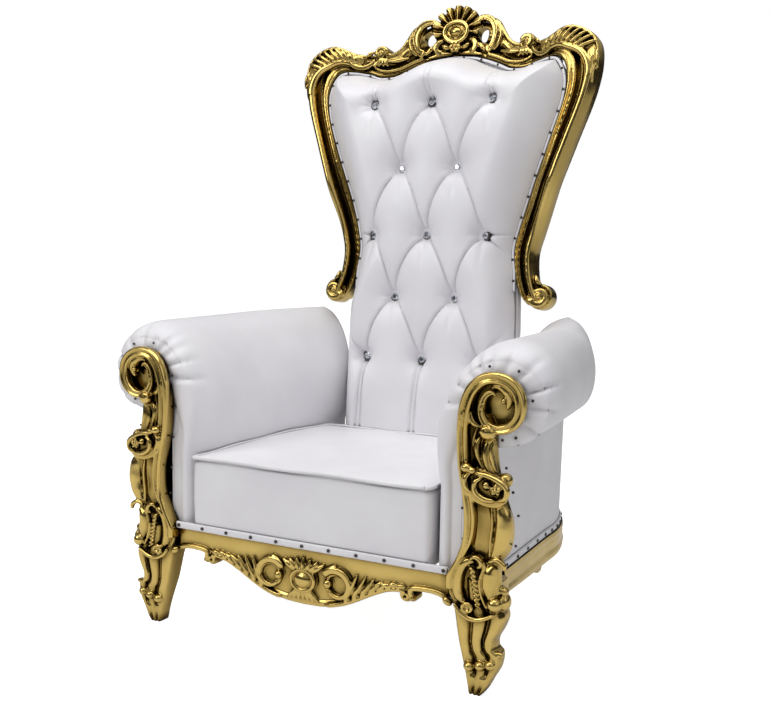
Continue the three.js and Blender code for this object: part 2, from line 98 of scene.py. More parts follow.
# Curves and shells
def spline(points):
    """A centripetal Catmull-Rom curve through the points, as a function of 0..1."""
    knots = np.array(points, float)
    ends = np.vstack([2 * knots[0] - knots[1], knots, 2 * knots[-1] - knots[-2]])
    spans = len(knots) - 1

    def gap(a, b):
        return np.maximum(np.sum((a - b) ** 2, -1) ** 0.25, 1e-6)[..., None]

    def place(t):
        t = np.clip(np.asarray(t, float), 0, 1) * spans
        i = np.minimum(t.astype(int), spans - 1)
        w = (t - i)[..., None]
        p0, p1, p2, p3 = ends[i], ends[i + 1], ends[i + 2], ends[i + 3]
        d0, d1, d2 = gap(p0, p1), gap(p1, p2), gap(p2, p3)
        m1 = ((p1 - p0) / d0 - (p2 - p0) / (d0 + d1) + (p2 - p1) / d1) * d1
        m2 = ((p2 - p1) / d1 - (p3 - p1) / (d1 + d2) + (p3 - p2) / d2) * d1
        return p1 + m1 * w + (3 * (p2 - p1) - 2 * m1 - m2) * w ** 2 + (2 * (p1 - p2) + m1 + m2) * w ** 3

    return place


def ease(t):
    return t * t * (3 - 2 * t)


def share_between(value, start, end):
    """0 before start, 1 after end and an eased step in between."""
    return ease(np.clip((value - start) / (end - start), 0, 1))


def bow(x, z):
    """How far the back bends out of its plane: the crest to the rear and the wings forward."""
    crest = 60 * share_between(np.abs(x), 430, 0) * share_between(z, 1300, 1560)
    return crest - 36 * share_between(np.abs(x), 250, 380) * share_between(z, 1030, 1210)


def smooth_profile(keys, count):
    """Evenly spaced samples of a smooth curve through (position, height) keys."""
    return spline(keys)(np.linspace(0, 1, count))


def length_along(points):
    """The distance along a polyline at each of its points."""
    return np.concatenate([[0], np.cumsum(np.linalg.norm(np.diff(points, axis=0), axis=1))])


def points_at(x, y, z):
    """Points from their coordinates, each of which may be a number or a grid."""
    return np.stack(np.broadcast_arrays(x, y, z), -1).astype(float)


def full_turn(count):
    """Angles that share out a full turn evenly."""
    return 2 * np.pi * np.arange(count) / count


def faces_over(rows, cols, wrap):
    """Corners of the faces between a grid's rows and columns. wrap joins the last to the first."""
    index = np.arange(rows * cols).reshape(rows, cols)
    if wrap:
        index = np.hstack([index, index[:, :1]])
    a, b = index[:-1], index[1:]
    return np.stack([a[:, :-1], a[:, 1:], b[:, 1:], b[:, :-1]], -1).reshape(-1, 4)


def in_metres(points):
    """Points in the part's millimetres, moved to the frame's axes."""
    return (points - np.array([0, CENTRE_Y, 0])) / METRE


def shade(mesh, smooth):
    for polygon in mesh.polygons:
        polygon.use_smooth = smooth


class Clay:
    """Closed shells in millimetres that are gathered and then melted into one mesh."""

    def __init__(self):
        self.verts, self.faces = [], []

    def grid(self, rings):
        """Rings of points, each ring closed, joined in order and capped at both ends."""
        rings = np.asarray(rings, float)
        base = sum(len(v) for v in self.verts)
        count, sides = rings.shape[:2]
        self.verts.append(rings.reshape(-1, 3))
        first = base + np.arange(sides)
        self.faces += (base + faces_over(count, sides, wrap=True)).tolist()
        self.faces += [first[::-1].tolist(), (first + (count - 1) * sides).tolist()]

    def mirror(self):
        """Adds the same shells on the other side of the middle plane."""
        verts = np.vstack(self.verts)
        base = len(verts)
        self.verts.append(verts * np.array([-1, 1, 1]))
        self.faces += [[base + v for v in reversed(face)] for face in self.faces]

    def rod(self, points, width, flat=1.0, y=0.0, steps=30, sides=14, groove=0.0):
        """A rod along (x, z) points. width is a function of 0..1, one half width, or one for each
        point; groove cuts a channel along its crown."""
        curve = spline(points)
        t = (1 - np.cos(np.pi * np.linspace(0, 1, steps))) / 2
        centre = curve(t)
        tangent = np.gradient(centre, axis=0)
        tangent /= np.maximum(np.linalg.norm(tangent, axis=1), 1e-9)[:, None]
        if callable(width):
            reach = np.array([width(v) for v in t], float)
        else:
            reach = np.interp(t, np.linspace(0, 1, np.size(width)), np.atleast_1d(width)).astype(float)
        reach *= np.clip(np.sin(np.pi * t) * 7, 0.05, 1) ** 0.5
        angle = full_turn(sides)
        across = np.cos(angle)
        height = np.sin(angle) * (1 - groove * np.exp(-(across / 0.42) ** 2) * (np.sin(angle) > 0))
        x = centre[:, None, 0] - tangent[:, None, 1] * across * reach[:, None]
        z = centre[:, None, 1] + tangent[:, None, 0] * across * reach[:, None]
        self.grid(points_at(x, y - height * reach[:, None] * flat, z))

    def lobe(self, points, width, **options):
        """A leaf tip: a rod that swells towards its round end."""
        self.rod(points, lambda t: width * max(0.15, math.sin(math.pi * (0.06 + 0.82 * t ** 0.8))),
                 **{"steps": 18, "sides": 12, **options})

    def boss(self, x, z, half_x, half_z, height, y=0.0, tilt=0.0, sides=24):
        """A round or oval dome."""
        rows = sides // 2
        polar = np.pi * (np.arange(rows) + 0.5) / rows
        angle = full_turn(sides)
        across = np.sin(polar)[:, None] * np.cos(angle) * half_x
        along = np.sin(polar)[:, None] * np.sin(angle) * half_z
        turned_x = x + across * math.cos(tilt) - along * math.sin(tilt)
        turned_z = z + across * math.sin(tilt) + along * math.cos(tilt)
        self.grid(points_at(turned_x, y - np.cos(polar)[:, None] * height, turned_z))

    def ring(self, x, z, half_x, half_z, thick, y=0.0, steps=48, sides=12):
        """A torus drawn as an oval in the XZ plane."""
        around = (2 * np.pi * np.arange(steps + 1) / steps)[:, None]
        angle = full_turn(sides)
        out = thick * np.cos(angle)
        across, along = (half_x + out) * np.cos(around), (half_z + out) * np.sin(around)
        self.grid(points_at(x + across, y - thick * np.sin(angle), z + along))

    def disc(self, x, z, radius, front, back, dish=0.0):
        """A round plate between two depths, its face hollowed by dish."""
        angle = full_turn(48)
        rows = [(0.02, front + dish), (0.5, front + dish * 0.8), (0.86, front), (0.95, front + 1.5),
                (1.0, front + 7), (1.0, back - 2), (0.97, back), (0.02, back)]
        share, depth = np.array(rows, float).T[..., None]
        self.grid(points_at(x + radius * share * np.cos(angle), depth, z - radius * share * np.sin(angle)))

    def spiral(self, x, z, outer, inner, start, turns, hand, width, y, groove=0.3):
        """A rod that winds in towards an eye."""
        t = np.linspace(0, 1, int(turns * 12) + 2)
        reach = outer + (inner - outer) * t ** 0.85
        angle = start + hand * t * turns * 2 * math.pi
        points = np.stack([x + np.cos(angle) * reach, z + np.sin(angle) * reach], -1)
        self.rod(points, lambda v: width * (1 - 0.5 * v), y=y, steps=int(turns * 44), groove=groove)

    def band(self, first, second, section, steps, back=46.0, lift=None, rear=None, depth=None):
        """A moulding between curves through two rows of (x, z) points. section holds (share of the
        width, height towards the front), and rear the same for its far side."""
        t = np.linspace(0, 1, steps)
        a, b = spline(first)(t), spline(second)(t)
        if rear is None:
            rear = [(1.0, 3 - back), (0.98, -back), (0.02, -back), (0.0, 3 - back)]
        outline = list(map(tuple, section)) + rear
        rings = np.zeros((steps, len(outline), 3))
        for i, (s, h) in enumerate(outline):
            place = a + (b - a) * s
            rings[:, i, 0], rings[:, i, 2] = place[:, 0], place[:, 1]
            scale = lift(t) if lift is not None and h > 0 else 1.0
            if depth is not None and i >= len(section):
                scale = depth(t)
            rings[:, i, 1] = -h * scale
        self.grid(rings)

    def mesh(self, name, place=None):
        """The shells as a mesh in metres, moved by place first."""
        verts = np.vstack(self.verts)
        if place is not None:
            verts = place(verts)
        mesh = bpy.data.meshes.new(name)
        mesh.from_pydata(in_metres(verts).tolist(), [], self.faces)
        mesh.update()
        return mesh


def lean_back(verts):
    """Bows and leans points drawn upright, at their real heights, with the back."""
    up = (verts[:, 2] - BACK_Z) / math.cos(LEAN)
    y = verts[:, 1] + bow(verts[:, 0], verts[:, 2])
    turned = verts.copy()
    turned[:, 1] = BACK_Y + y * math.cos(LEAN) + up * math.sin(LEAN)
    turned[:, 2] = BACK_Z - y * math.sin(LEAN) + up * math.cos(LEAN)
    return turned


def add_object(name, mesh, material, replaces=()):
    piece = new_object(name, mesh)
    mesh.materials.append(material)
    shade(mesh, True)
    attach(piece, "root")
    if replaces:
        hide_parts(*replaces)
    return piece


def apply_modifier(piece, kind, **settings):
    modifier = piece.modifiers.new(kind.lower(), kind)
    for key, value in settings.items():
        setattr(modifier, key, value)
    bpy.context.view_layer.objects.active = piece
    with bpy.context.temp_override(object=piece, active_object=piece, selected_objects=[piece]):
        bpy.ops.object.modifier_apply(modifier=modifier.name)


def melt(piece, voxel, smooth=4, keep=1.0):
    """Fuses a piece's shells, softens them and thins out the flat stretches."""
    apply_modifier(piece, "REMESH", mode="VOXEL", voxel_size=voxel / METRE, adaptivity=0.0)
    apply_modifier(piece, "SMOOTH", factor=0.5, iterations=smooth)
    if keep < 1.0:
        apply_modifier(piece, "DECIMATE", ratio=keep)
    shade(piece.data, True)


# Materials
def node_material(name):
    material = bpy.data.materials.new(name)
    material.use_nodes = True
    tree = material.node_tree
    return material, tree, tree.nodes["Principled BSDF"]


def set_inputs(node, **values):
    """Sets a node's inputs. An underscore stands for the space in an input's name."""
    for name, value in values.items():
        node.inputs[name.replace("_", " ")].default_value = value


def add_noise(tree, scale, detail=4.0):
    coords = tree.nodes.new("ShaderNodeTexCoord")
    texture = tree.nodes.new("ShaderNodeTexNoise")
    set_inputs(texture, Scale=scale, Detail=detail)
    tree.links.new(coords.outputs["Object"], texture.inputs["Vector"])
    return texture


def add_ramp(tree, source, stops):
    ramp = tree.nodes.new("ShaderNodeValToRGB")
    while len(ramp.color_ramp.elements) < len(stops):
        ramp.color_ramp.elements.new(0.5)
    for element, (place, color) in zip(ramp.color_ramp.elements, stops):
        element.position = place
        element.color = color
    tree.links.new(source, ramp.inputs["Fac"])
    return ramp


def add_grey_ramp(tree, source, low, high, socket):
    """Greys from the (place, value) low to the (place, value) high, led to a socket."""
    stops = [(place, (value,) * 3 + (1,)) for place, value in (low, high)]
    tree.links.new(add_ramp(tree, source, stops).outputs["Color"], socket)


def add_painted_shade(tree, samples, distance, stops):
    """A ramp over how shut in a point is, which paints shade into hollows and creases."""
    cover = tree.nodes.new("ShaderNodeAmbientOcclusion")
    cover.samples = samples
    set_inputs(cover, Distance=distance)
    return add_ramp(tree, cover.outputs["AO"], stops)


def add_product(tree, first, second, factor, socket):
    """Multiplies two colours and leads them to a socket."""
    tone = tree.nodes.new("ShaderNodeMix")
    tone.data_type = "RGBA"
    tone.blend_type = "MULTIPLY"
    set_inputs(tone, Factor=factor)
    tree.links.new(first.outputs["Color"], tone.inputs["A"])
    tree.links.new(second.outputs["Color"], tone.inputs["B"])
    tree.links.new(tone.outputs["Result"], socket)


def add_bump(tree, shader, height, strength, distance):
    bump = tree.nodes.new("ShaderNodeBump")
    set_inputs(bump, Strength=strength, Distance=distance)
    tree.links.new(height, bump.inputs["Height"])
    tree.links.new(bump.outputs["Normal"], shader.inputs["Normal"])


def gold_material():
    """Bright leaf with painted shade that turns it brown to near black in the hollows, and slightly uneven
    burnish.
    """
    material, tree, shader = node_material("gilding")
    set_inputs(shader, Metallic=1.0)
    # Painted shade: the colour darkens to brown and near black where the surface is shut in.
    painted_shade = add_painted_shade(tree, 6, 0.028, [
        (0.34, (0.022, 0.013, 0.003, 1)), (0.66, (0.17, 0.105, 0.02, 1)), (0.95, (0.70, 0.51, 0.165, 1)),
    ])
    patches = add_noise(tree, 14.0)
    worn = add_ramp(tree, patches.outputs["Fac"], [(0.3, (0.72, 0.66, 0.5, 1)), (0.65, (1, 1, 1, 1))])
    add_product(tree, painted_shade, worn, 0.35, shader.inputs["Base Color"])
    burnish = add_noise(tree, 38.0)
    add_grey_ramp(tree, burnish.outputs["Fac"], (0.3, 0.13), (0.7, 0.25), shader.inputs["Roughness"])
    ripple = add_noise(tree, 40.0, 2.0)
    add_bump(tree, shader, ripple.outputs["Fac"], 0.05, 0.002)
    return material


def leatherette_material():
    """Cool white leatherette with a fine grain, faint unevenness and painted shade in its creases."""
    material, tree, shader = node_material("leatherette")
    set_inputs(shader, Coat_Weight=0.12, Coat_Roughness=0.35)
    cloud = add_noise(tree, 5.0, 3.0)
    tint = add_ramp(tree, cloud.outputs["Fac"], [
        (0.35, (0.80, 0.785, 0.815, 1)), (0.7, (0.86, 0.85, 0.872, 1)),
    ])
    # Painted shade: the creases and hollows of the tufting are darkened in the colour.
    crease = add_painted_shade(tree, 8, 0.012, [(0.3, (0.16, 0.15, 0.15, 1)), (0.75, (1, 1, 1, 1))])
    add_product(tree, tint, crease, 1.0, shader.inputs["Base Color"])
    matte = add_noise(tree, 30.0, 3.0)
    add_grey_ramp(tree, matte.outputs["Fac"], (0.3, 0.36), (0.7, 0.5), shader.inputs["Roughness"])
    coords = tree.nodes.new("ShaderNodeTexCoord")
    grain = tree.nodes.new("ShaderNodeTexVoronoi")
    set_inputs(grain, Scale=900.0)
    tree.links.new(coords.outputs["Object"], grain.inputs["Vector"])
    add_bump(tree, shader, grain.outputs["Distance"], 0.12, 0.0006)
    return material


def nail_material():
    material, tree, shader = node_material("nail_steel")
    set_inputs(shader, Metallic=1.0)
    stain = add_noise(tree, 400.0)
    tone = add_ramp(tree, stain.outputs["Fac"], [
        (0.3, (0.035, 0.032, 0.03, 1)), (0.7, (0.14, 0.13, 0.12, 1)),
    ])
    tree.links.new(tone.outputs["Color"], shader.inputs["Base Color"])
    add_grey_ramp(tree, stain.outputs["Fac"], (0.2, 0.18), (0.8, 0.32), shader.inputs["Roughness"])
    return material


def crystal_material():
    """Foil-backed cut glass with painted glints: noise makes the facets' colour flash bright or dark."""
    material, tree, shader = node_material("crystal")
    set_inputs(shader, Metallic=0.85, Roughness=0.06, Coat_Weight=1.0, Coat_Roughness=0.02)
    # Painted glints and dark reflections: noise in the colour stands in for the facets catching the light.
    painted_glint = add_noise(tree, 260.0, 1.0)
    tone = add_ramp(tree, painted_glint.outputs["Fac"], [(0.38, (0.16, 0.17, 0.2, 1)), (0.55, (0.8, 0.83, 0.9, 1))])
    tree.links.new(tone.outputs["Color"], shader.inputs["Base Color"])
    return material


GOLD = gold_material()
LEATHERETTE = leatherette_material()
NAIL = nail_material()
CRYSTAL = crystal_material()

# The back frame, drawn upright at its real heights
INNER_EDGE = [
    (306, 842), (285, 864), (262, 925), (254, 1000), (265, 1060), (297, 1167), (344, 1302),
    (382, 1432), (385, 1485), (372, 1530), (356, 1547), (336, 1554), (308, 1554), (276, 1553),
    (237, 1541), (190, 1546), (145, 1567), (70, 1593), (-2, 1602),
]
OUTER_EDGE = [
    (336, 868), (329, 893), (320, 930), (316, 990), (330, 1050), (370, 1167), (421, 1315),
    (466, 1450), (478, 1530), (470, 1583), (436, 1616), (384, 1631), (332, 1615), (290, 1602),
    (240, 1614), (190, 1620), (152, 1658), (100, 1697), (-2, 1722),
]
FRAME_SPANS = len(INNER_EDGE) - 1
FRAME_SCROLL = (338, 868)
CREST_HOLES = [(-89, 1658), (89, 1658)]
BAND_SECTION = smooth_profile([
    (0.0, 2), (0.03, 12), (0.09, 14), (0.15, 9), (0.18, 5), (0.22, 8), (0.27, 6), (0.32, -4), (0.42, -8),
    (0.52, 3), (0.6, 19), (0.68, 25), (0.77, 24), (0.86, 15), (0.94, 4), (1.0, -8),
], 60)


def on_frame(t, across):
    inner, outer = spline(INNER_EDGE)(t), spline(OUTER_EDGE)(t)
    return inner + (outer - inner) * across


def carve_crest(clay):
    """The fanned shell over its oval boss, with the small flower below."""
    centre, flower = 1670, 1624
    clay.disc(0, centre + 14, 70, -6, 20)
    for k in range(-4, 5):
        angle = math.radians(23 * k)
        sin, cos = math.sin(angle), math.cos(angle)
        points = [(sin * r, centre + cos * r) for r in (34, 52, 70, 84)]
        clay.rod(points, [5, 8, 11, 12], y=-8, flat=1.25)
        clay.rod([(sin * r, centre + cos * r) for r in (38, 56, 74)], [2, 3, 3.5], y=-18, flat=1.6)
    clay.disc(0, centre, 44, -14, 20)
    clay.ring(0, centre, 38, 31, 7.5, y=-22)
    clay.ring(0, centre, 24, 18, 2.5, y=-20)
    clay.boss(0, centre, 21, 15, 15, y=-18)
    for k in range(6):
        angle = math.radians(60 * k)
        clay.boss(13 * math.cos(angle), flower + 12 * math.sin(angle), 8, 8, 10, y=-20)
    clay.boss(0, flower, 6, 6, 13, y=-22)
    for side in (-1, 1):
        curl = [(40, 1648), (58, 1640), (66, 1626), (56, 1612), (44, 1616)]
        clay.rod([(side * x, z) for x, z in curl], [5, 9, 10, 8, 4], y=-14, groove=0.3)
        clay.lobe([(side * 18, 1622), (side * 34, 1626), (side * 46, 1634)], 8, y=-16)
        clay.lobe([(side * 10, 1606), (side * 44, 1606), (side * 92, 1596)], 8, y=-10)


def carve_crest_side(clay):
    hook = [
        (50, 1690), (66, 1702), (92, 1706), (116, 1694), (131, 1666), (128, 1636), (116, 1616), (100, 1614),
    ]
    clay.rod(hook, [5, 8, 10, 11, 11, 10, 8, 5], y=-12, groove=0.5, flat=1.2, steps=60)
    second = [(112, 1704), (140, 1682), (150, 1650), (142, 1622), (126, 1604)]
    clay.rod(second, [4, 6, 7, 7, 4], y=-8, flat=1.3)
    sweep = [(104, 1704), (138, 1686), (158, 1656), (178, 1628), (204, 1612), (232, 1610)]
    clay.rod(sweep, lambda t: 8 - 3 * t, y=-4, flat=1.2)
    clay.rod([(150, 1600), (186, 1592), (216, 1590)], [3, 7, 4], y=-10)
    clay.rod([(104, 1598), (140, 1584), (186, 1564), (232, 1560), (262, 1572)], lambda t: 6 - 2 * t, y=-8)
    clay.ring(112, 1612, 9, 8, 4, y=-14)
    clay.lobe([(74, 1634), (84, 1622), (100, 1606)], 8, y=-10)
    clay.disc(240, 1615, 25, -10, 40, dish=5)
    clay.spiral(240, 1615, 19, 5, math.pi, 1.3, -1, 7, -14)
    clay.boss(240, 1615, 6, 6, 9, y=-16)
    for k in range(4):
        clay.lobe([(220 + 6 * k, 1600), (222 + 9 * k, 1586), (214 + 16 * k, 1572)], 5.5, y=-14)
    clay.disc(302, 1587, 18, -10, 40, dish=4)
    clay.spiral(302, 1587, 13.5, 4, 0.0, 1.2, 1, 5.5, -14)
    clay.lobe([(338, 1590), (318, 1570), (292, 1566), (268, 1580), (258, 1598)], 7.5, y=-14, groove=0.3)
    clay.lobe([(282, 1602), (274, 1612), (262, 1620)], 6, y=-12)
    clay.rod([(262, 1606), (284, 1604), (304, 1606), (326, 1608)], [3, 5, 5, 3], y=-6)


def carve_shoulder(clay):
    """Ribs that lie side by side round the shoulder, between a stem and a smooth rim."""
    for i in range(9):
        t = (12.5 - 0.42 * i) / FRAME_SPANS
        points = [on_frame(t + 0.004 * (1 - k), 0.42 + 0.16 * k) for k in range(4)]
        clay.rod(points, [5, 6.2, 6.2, 4], y=-14, flat=1.5)
    turn = [(7.2 + 0.5 * k, 0.73 - 0.39 * ease(min(1, k / 6))) for k in range(12)]
    stem = [on_frame(place / FRAME_SPANS, across) for place, across in turn]
    clay.rod(stem, [14, 14, 13, 12, 11, 10, 9, 8, 7, 6, 6, 5], y=-11, flat=1.1, steps=80)
    rim = [on_frame((12.9 - 0.5 * k) / FRAME_SPANS, 0.93) for k in range(11)]
    clay.rod(rim, lambda t: 6 - 2 * t, y=-8, steps=60)
    for start, across, width in ((8.9, 0.56, 9), (8.6, 0.72, 8), (8.5, 0.88, 7), (8.1, 0.80, 6)):
        tail = [on_frame((start - 0.3 * k) / FRAME_SPANS, across + 0.03 * k) for k in range(4)]
        clay.lobe(tail, width, y=-12, flat=1.3)


def build_back_frame():
    clay = Clay()
    clay.band(INNER_EDGE, OUTER_EDGE, BAND_SECTION, 190,
              lift=lambda t: 1 - 0.72 * share_between(t, 0.43, 0.52),
              rear=[(1.0, -15), (0.98, -20), (0.02, -20), (0.0, -15)],
              depth=lambda t: 2.3 - 1.3 * share_between(t, 0.84, 0.9))
    clay.disc(*FRAME_SCROLL, 37, -6, 46, dish=5)
    clay.spiral(*FRAME_SCROLL, 28, 8, math.pi, 1.5, 1, 10, -14)
    clay.boss(*FRAME_SCROLL, 10, 10, 14, y=-14)
    clay.lobe([(322, 930), (330, 910), (342, 902)], 8, y=-8)
    carve_crest_side(clay)
    carve_shoulder(clay)
    clay.mirror()
    carve_crest(clay)
    upright = clay.mesh("back_frame_carved", lean_back)
    piece = add_object("carved_back_frame", upright, GOLD, ["back_frame"])
    melt(piece, 2.2, smooth=2, keep=0.4)
    pierce(piece, CREST_HOLES, 18, 21, -120, 160)


def pierce(piece, places, half_x, half_z, low_y, high_y):
    """Cuts oval holes through a carved piece from front to back, in the leaning plane."""
    clay = Clay()
    angle = full_turn(24)
    depth = np.array([[low_y], [high_y]])
    for x, z in places:
        clay.grid(points_at(x + half_x * np.cos(angle), depth, z - half_z * np.sin(angle)))
    cutter = new_object("cutter", clay.mesh("cutter", lean_back))
    apply_modifier(piece, "BOOLEAN", object=cutter, operation="DIFFERENCE", solver="MANIFOLD")
    bpy.data.objects.remove(cutter)


# Front posts, each in one with its leg
POST_INNER = [
    (412, 640), (403, 600), (406, 530), (418, 460), (424, 410), (421, 350), (406, 310), (385, 268),
    (384, 240),
]
POST_OUTER = [
    (474, 640), (490, 600), (491, 560), (500, 505), (516, 455), (533, 400), (529, 345), (508, 305),
    (512, 240),
]
POST_SECTION = smooth_profile([
    (0.0, 8), (0.03, 18), (0.08, 20), (0.16, 12), (0.24, 2), (0.34, -4), (0.5, -5), (0.62, 0),
    (0.75, 6), (0.88, 8), (0.95, 4), (1.0, -10),
], 40)
LEG_INNER = [
    (384, 264.6), (385, 235), (394, 200), (399, 178), (404, 150), (411, 116), (416, 96), (419, 82),
    (425, 60), (431, 38), (437, 14), (440, 0),
]
LEG_OUTER = [
    (508, 264.6), (512, 235), (512, 205), (519, 182), (511, 155), (498, 128), (500, 112), (512, 102),
    (510, 70), (495, 40), (480, 12), (470, 0),
]
LEG_SECTION = smooth_profile([
    (0.0, -20), (0.02, -8), (0.07, 1), (0.15, 4), (0.24, 3), (0.31, -2), (0.36, -7), (0.4, 0), (0.46, 5),
    (0.54, 6), (0.62, 4), (0.67, -4), (0.7, -7), (0.74, 0), (0.82, 6), (0.9, 5), (0.96, -3), (1.0, -14),
], 56)
LEG_REAR = [(1.0, -34), (0.99, -46), (0.92, -54), (0.5, -58), (0.08, -54), (0.01, -46), (0.0, -34)]


def carve_post_scroll(clay):
    """A grooved rim that climbs the inner edge, turns over the top and winds into the eye."""
    x, z, radius = SCROLL_X, SCROLL_Z, SCROLL_RADIUS
    rim = [
        (400, 290), (418, 318), (434, 355), (440, 400), (434, 450), (422, 510), (417, 560), (416, 610),
        (421, 655), (436, 692), (462, 715), (492, 720), (520, 712), (540, 692), (547, 662), (540, 634),
        (520, 614), (497, 608), (476, 614), (461, 632), (457, 656), (464, 678), (480, 688), (492, 680),
    ]
    widths = [
        6, 9, 12, 13, 13.5, 14, 14, 14.5, 15, 15, 14.5, 14, 13.5, 13.5, 13.5, 13, 12, 11, 10, 9, 8, 7, 6, 4,
    ]
    clay.rod(rim, widths, y=-8, steps=260, sides=24, groove=0.55, flat=1.15)
    clay.disc(x, z, radius - 4, 12, POST_DEPTH - 0.2, dish=3)
    comma = [(476, 698), (496, 702), (514, 692), (522, 672), (514, 652)]
    clay.rod(comma, [3, 9, 12, 9, 3], y=-4, flat=1.1)
    clay.boss(510, 672, 7, 8, 13, y=-8)
    web = [(436, 664), (430, 640), (440, 618), (462, 610)]
    clay.rod(web, [3, 8, 9, 3], y=-4, flat=1.3)


def carve_post_body(clay):
    """The small volute under the scroll and the leaves that hang from it."""
    clay.boss(474, 600, 19, 18, 17, y=-8)
    clay.spiral(474, 600, 12, 4, math.pi * 1.1, 1.3, -1, 5.5, -18, groove=0)
    for points, width in (
        ([(452, 618), (440, 585), (442, 552), (450, 520)], 4.5),
        ([(456, 590), (448, 568), (453, 540), (466, 512)], 7.5),
        ([(472, 582), (468, 555), (471, 530), (480, 508)], 8),
        ([(486, 584), (482, 560), (486, 535), (496, 510)], 7),
    ):
        clay.lobe(points, width, y=-3, flat=1.3, steps=26)


def carve_post_cartouche(clay):
    """A tilted shell: two crescents and a flower inside an oval rim."""
    clay.boss(472, 480, 56, 36, 12, y=-4, tilt=math.radians(-24))
    under = [(425, 512), (422, 490), (436, 464), (466, 448), (502, 445), (524, 460)]
    clay.rod(under, [5, 8, 9, 9, 8, 5], y=-12, groove=0.3)
    over = [(440, 510), (472, 508), (504, 498), (524, 482), (520, 462), (502, 454)]
    clay.rod(over, [4, 6, 7, 7, 7, 4], y=-18, flat=1.2)
    clay.rod([(442, 512), (428, 496), (432, 476), (446, 464)], [4, 8, 8, 4], y=-16, flat=1.3)
    clay.rod([(468, 502), (452, 490), (454, 470), (474, 456), (500, 454)], [4, 7, 7.5, 8, 5], y=-20, flat=1.4)
    clay.boss(478, 486, 9, 10, 12, y=-18)
    for k in range(5):
        angle = math.radians(72 * k + 20)
        clay.boss(500 + 9 * math.cos(angle), 478 + 8 * math.sin(angle), 6, 5.5, 9, y=-19)
    clay.boss(500, 478, 4, 4, 13, y=-19)
    clay.boss(512, 496, 17, 17, 17, y=6)
    clay.boss(432, 521, 13, 11, 14, y=-22)
    clay.boss(446, 516, 9, 8, 10, y=-24)


def carve_post_leaves(clay):
    leaf = [(500, 448), (512, 425), (515, 388), (508, 350), (492, 316)]
    clay.rod(leaf, [9, 17, 20, 18, 10], y=-1)
    clay.rod([(484, 448), (489, 404), (486, 360), (484, 318)], [3, 4.5, 4.5, 4], y=-2, flat=1.4)
    clay.rod([(440, 312), (452, 321), (466, 314), (467, 302), (457, 298)], [3, 5.5, 6, 5, 3], y=-12, flat=1.3)
    clay.rod([(484, 314), (504, 322), (520, 312), (522, 300)], [4, 6, 6, 4], y=-12, flat=1.3)
    clay.rod([(462, 316), (474, 306), (478, 290)], [4, 5, 3], y=-10)


def carve_post_foot(clay):
    """The lower cartouche between two C scrolls, and the knobs on knee and ankle."""
    inner = [(452, 312), (424, 300), (410, 264), (414, 226), (432, 206)]
    clay.rod(inner, [7, 13, 14, 13, 6], y=-2, flat=1.05)
    clay.rod([(404, 300), (391, 262), (396, 222), (412, 200)], [3, 5, 5, 3], y=-1)
    clay.rod([(500, 306), (487, 288), (485, 256), (492, 226)], [8, 16, 17, 9], y=-3)
    clay.rod([(474, 300), (465, 266), (471, 232), (484, 206)], [3, 4.5, 4.5, 3], y=-9, flat=1.3)
    for k in range(9):
        x, z = 446 + 1.9 * k, 290 - 10.2 * k
        bead = [(x - 8, z + 4), (x, z + 1), (x + 9, z - 5)]
        clay.rod(bead, [3, 4.8 - 0.15 * k, 2.5], y=-8, flat=1.5, steps=12)
    clay.rod([(404, 208), (420, 190), (444, 179), (470, 181), (504, 198)], [4, 6, 6.5, 6, 4], y=-11, flat=1.2)
    clay.ring(437, 203, 11, 9, 4.5, y=-13)
    clay.boss(437, 203, 6, 5, 7, y=-8)
    clay.boss(500, 219, 17, 17, 18, y=-7)
    clay.boss(512, 246, 14, 11, 13, y=12)
    clay.boss(516, 222, 14, 20, 20, y=14)
    clay.boss(386, 206, 13, 9, 9, y=-4, tilt=math.radians(-35))
    for x, z in ((442, 66), (468, 72), (492, 78)):
        clay.boss(x, z, 13.5, 12.0, 16, y=-1)
    clay.rod([(488, 92), (504, 102), (518, 100)], [4, 7, 6], y=6)
    clay.lobe([(444, 56), (448, 36), (452, 14)], 13, y=8)
    clay.lobe([(476, 56), (474, 36), (466, 14)], 17, y=10)


POST_CARVING = (
    carve_post_scroll, carve_post_body, carve_post_cartouche, carve_post_leaves, carve_post_foot,
)


def build_front_post(side, name):
    clay = Clay()
    clay.band(POST_INNER, POST_OUTER, POST_SECTION, 90, back=POST_DEPTH)
    clay.band(LEG_INNER, LEG_OUTER, LEG_SECTION, 110, lift=lambda t: 1 - 0.4 * ease(t),
              rear=LEG_REAR, depth=lambda t: 1.2 - 0.5 * ease(t))
    for carve in POST_CARVING:
        carve(clay)

    def place(verts):
        return verts * np.array([side, 1, 1]) + np.array([0, POST_FRONT, 0])

    mesh = clay.mesh("front_post_" + name, place)
    if side < 0:
        mesh.flip_normals()
    piece = add_object("carved_post_" + name, mesh, GOLD, ["front_post_" + name])
    melt(piece, 1.8, smooth=3, keep=0.5)


# Front apron
APRON_LOW = [
    (-2, 124), (60, 128), (110, 142), (150, 160), (190, 181), (230, 198), (262, 203), (290, 208),
    (338, 215), (365, 211), (383.6, 203),
]
MEDALLION_Z = 188
APRON_SECTION = smooth_profile([(0.0, -2), (0.03, 4), (0.08, 5), (0.12, 2), (0.2, 0), (0.6, 0), (1.0, 1)], 20)


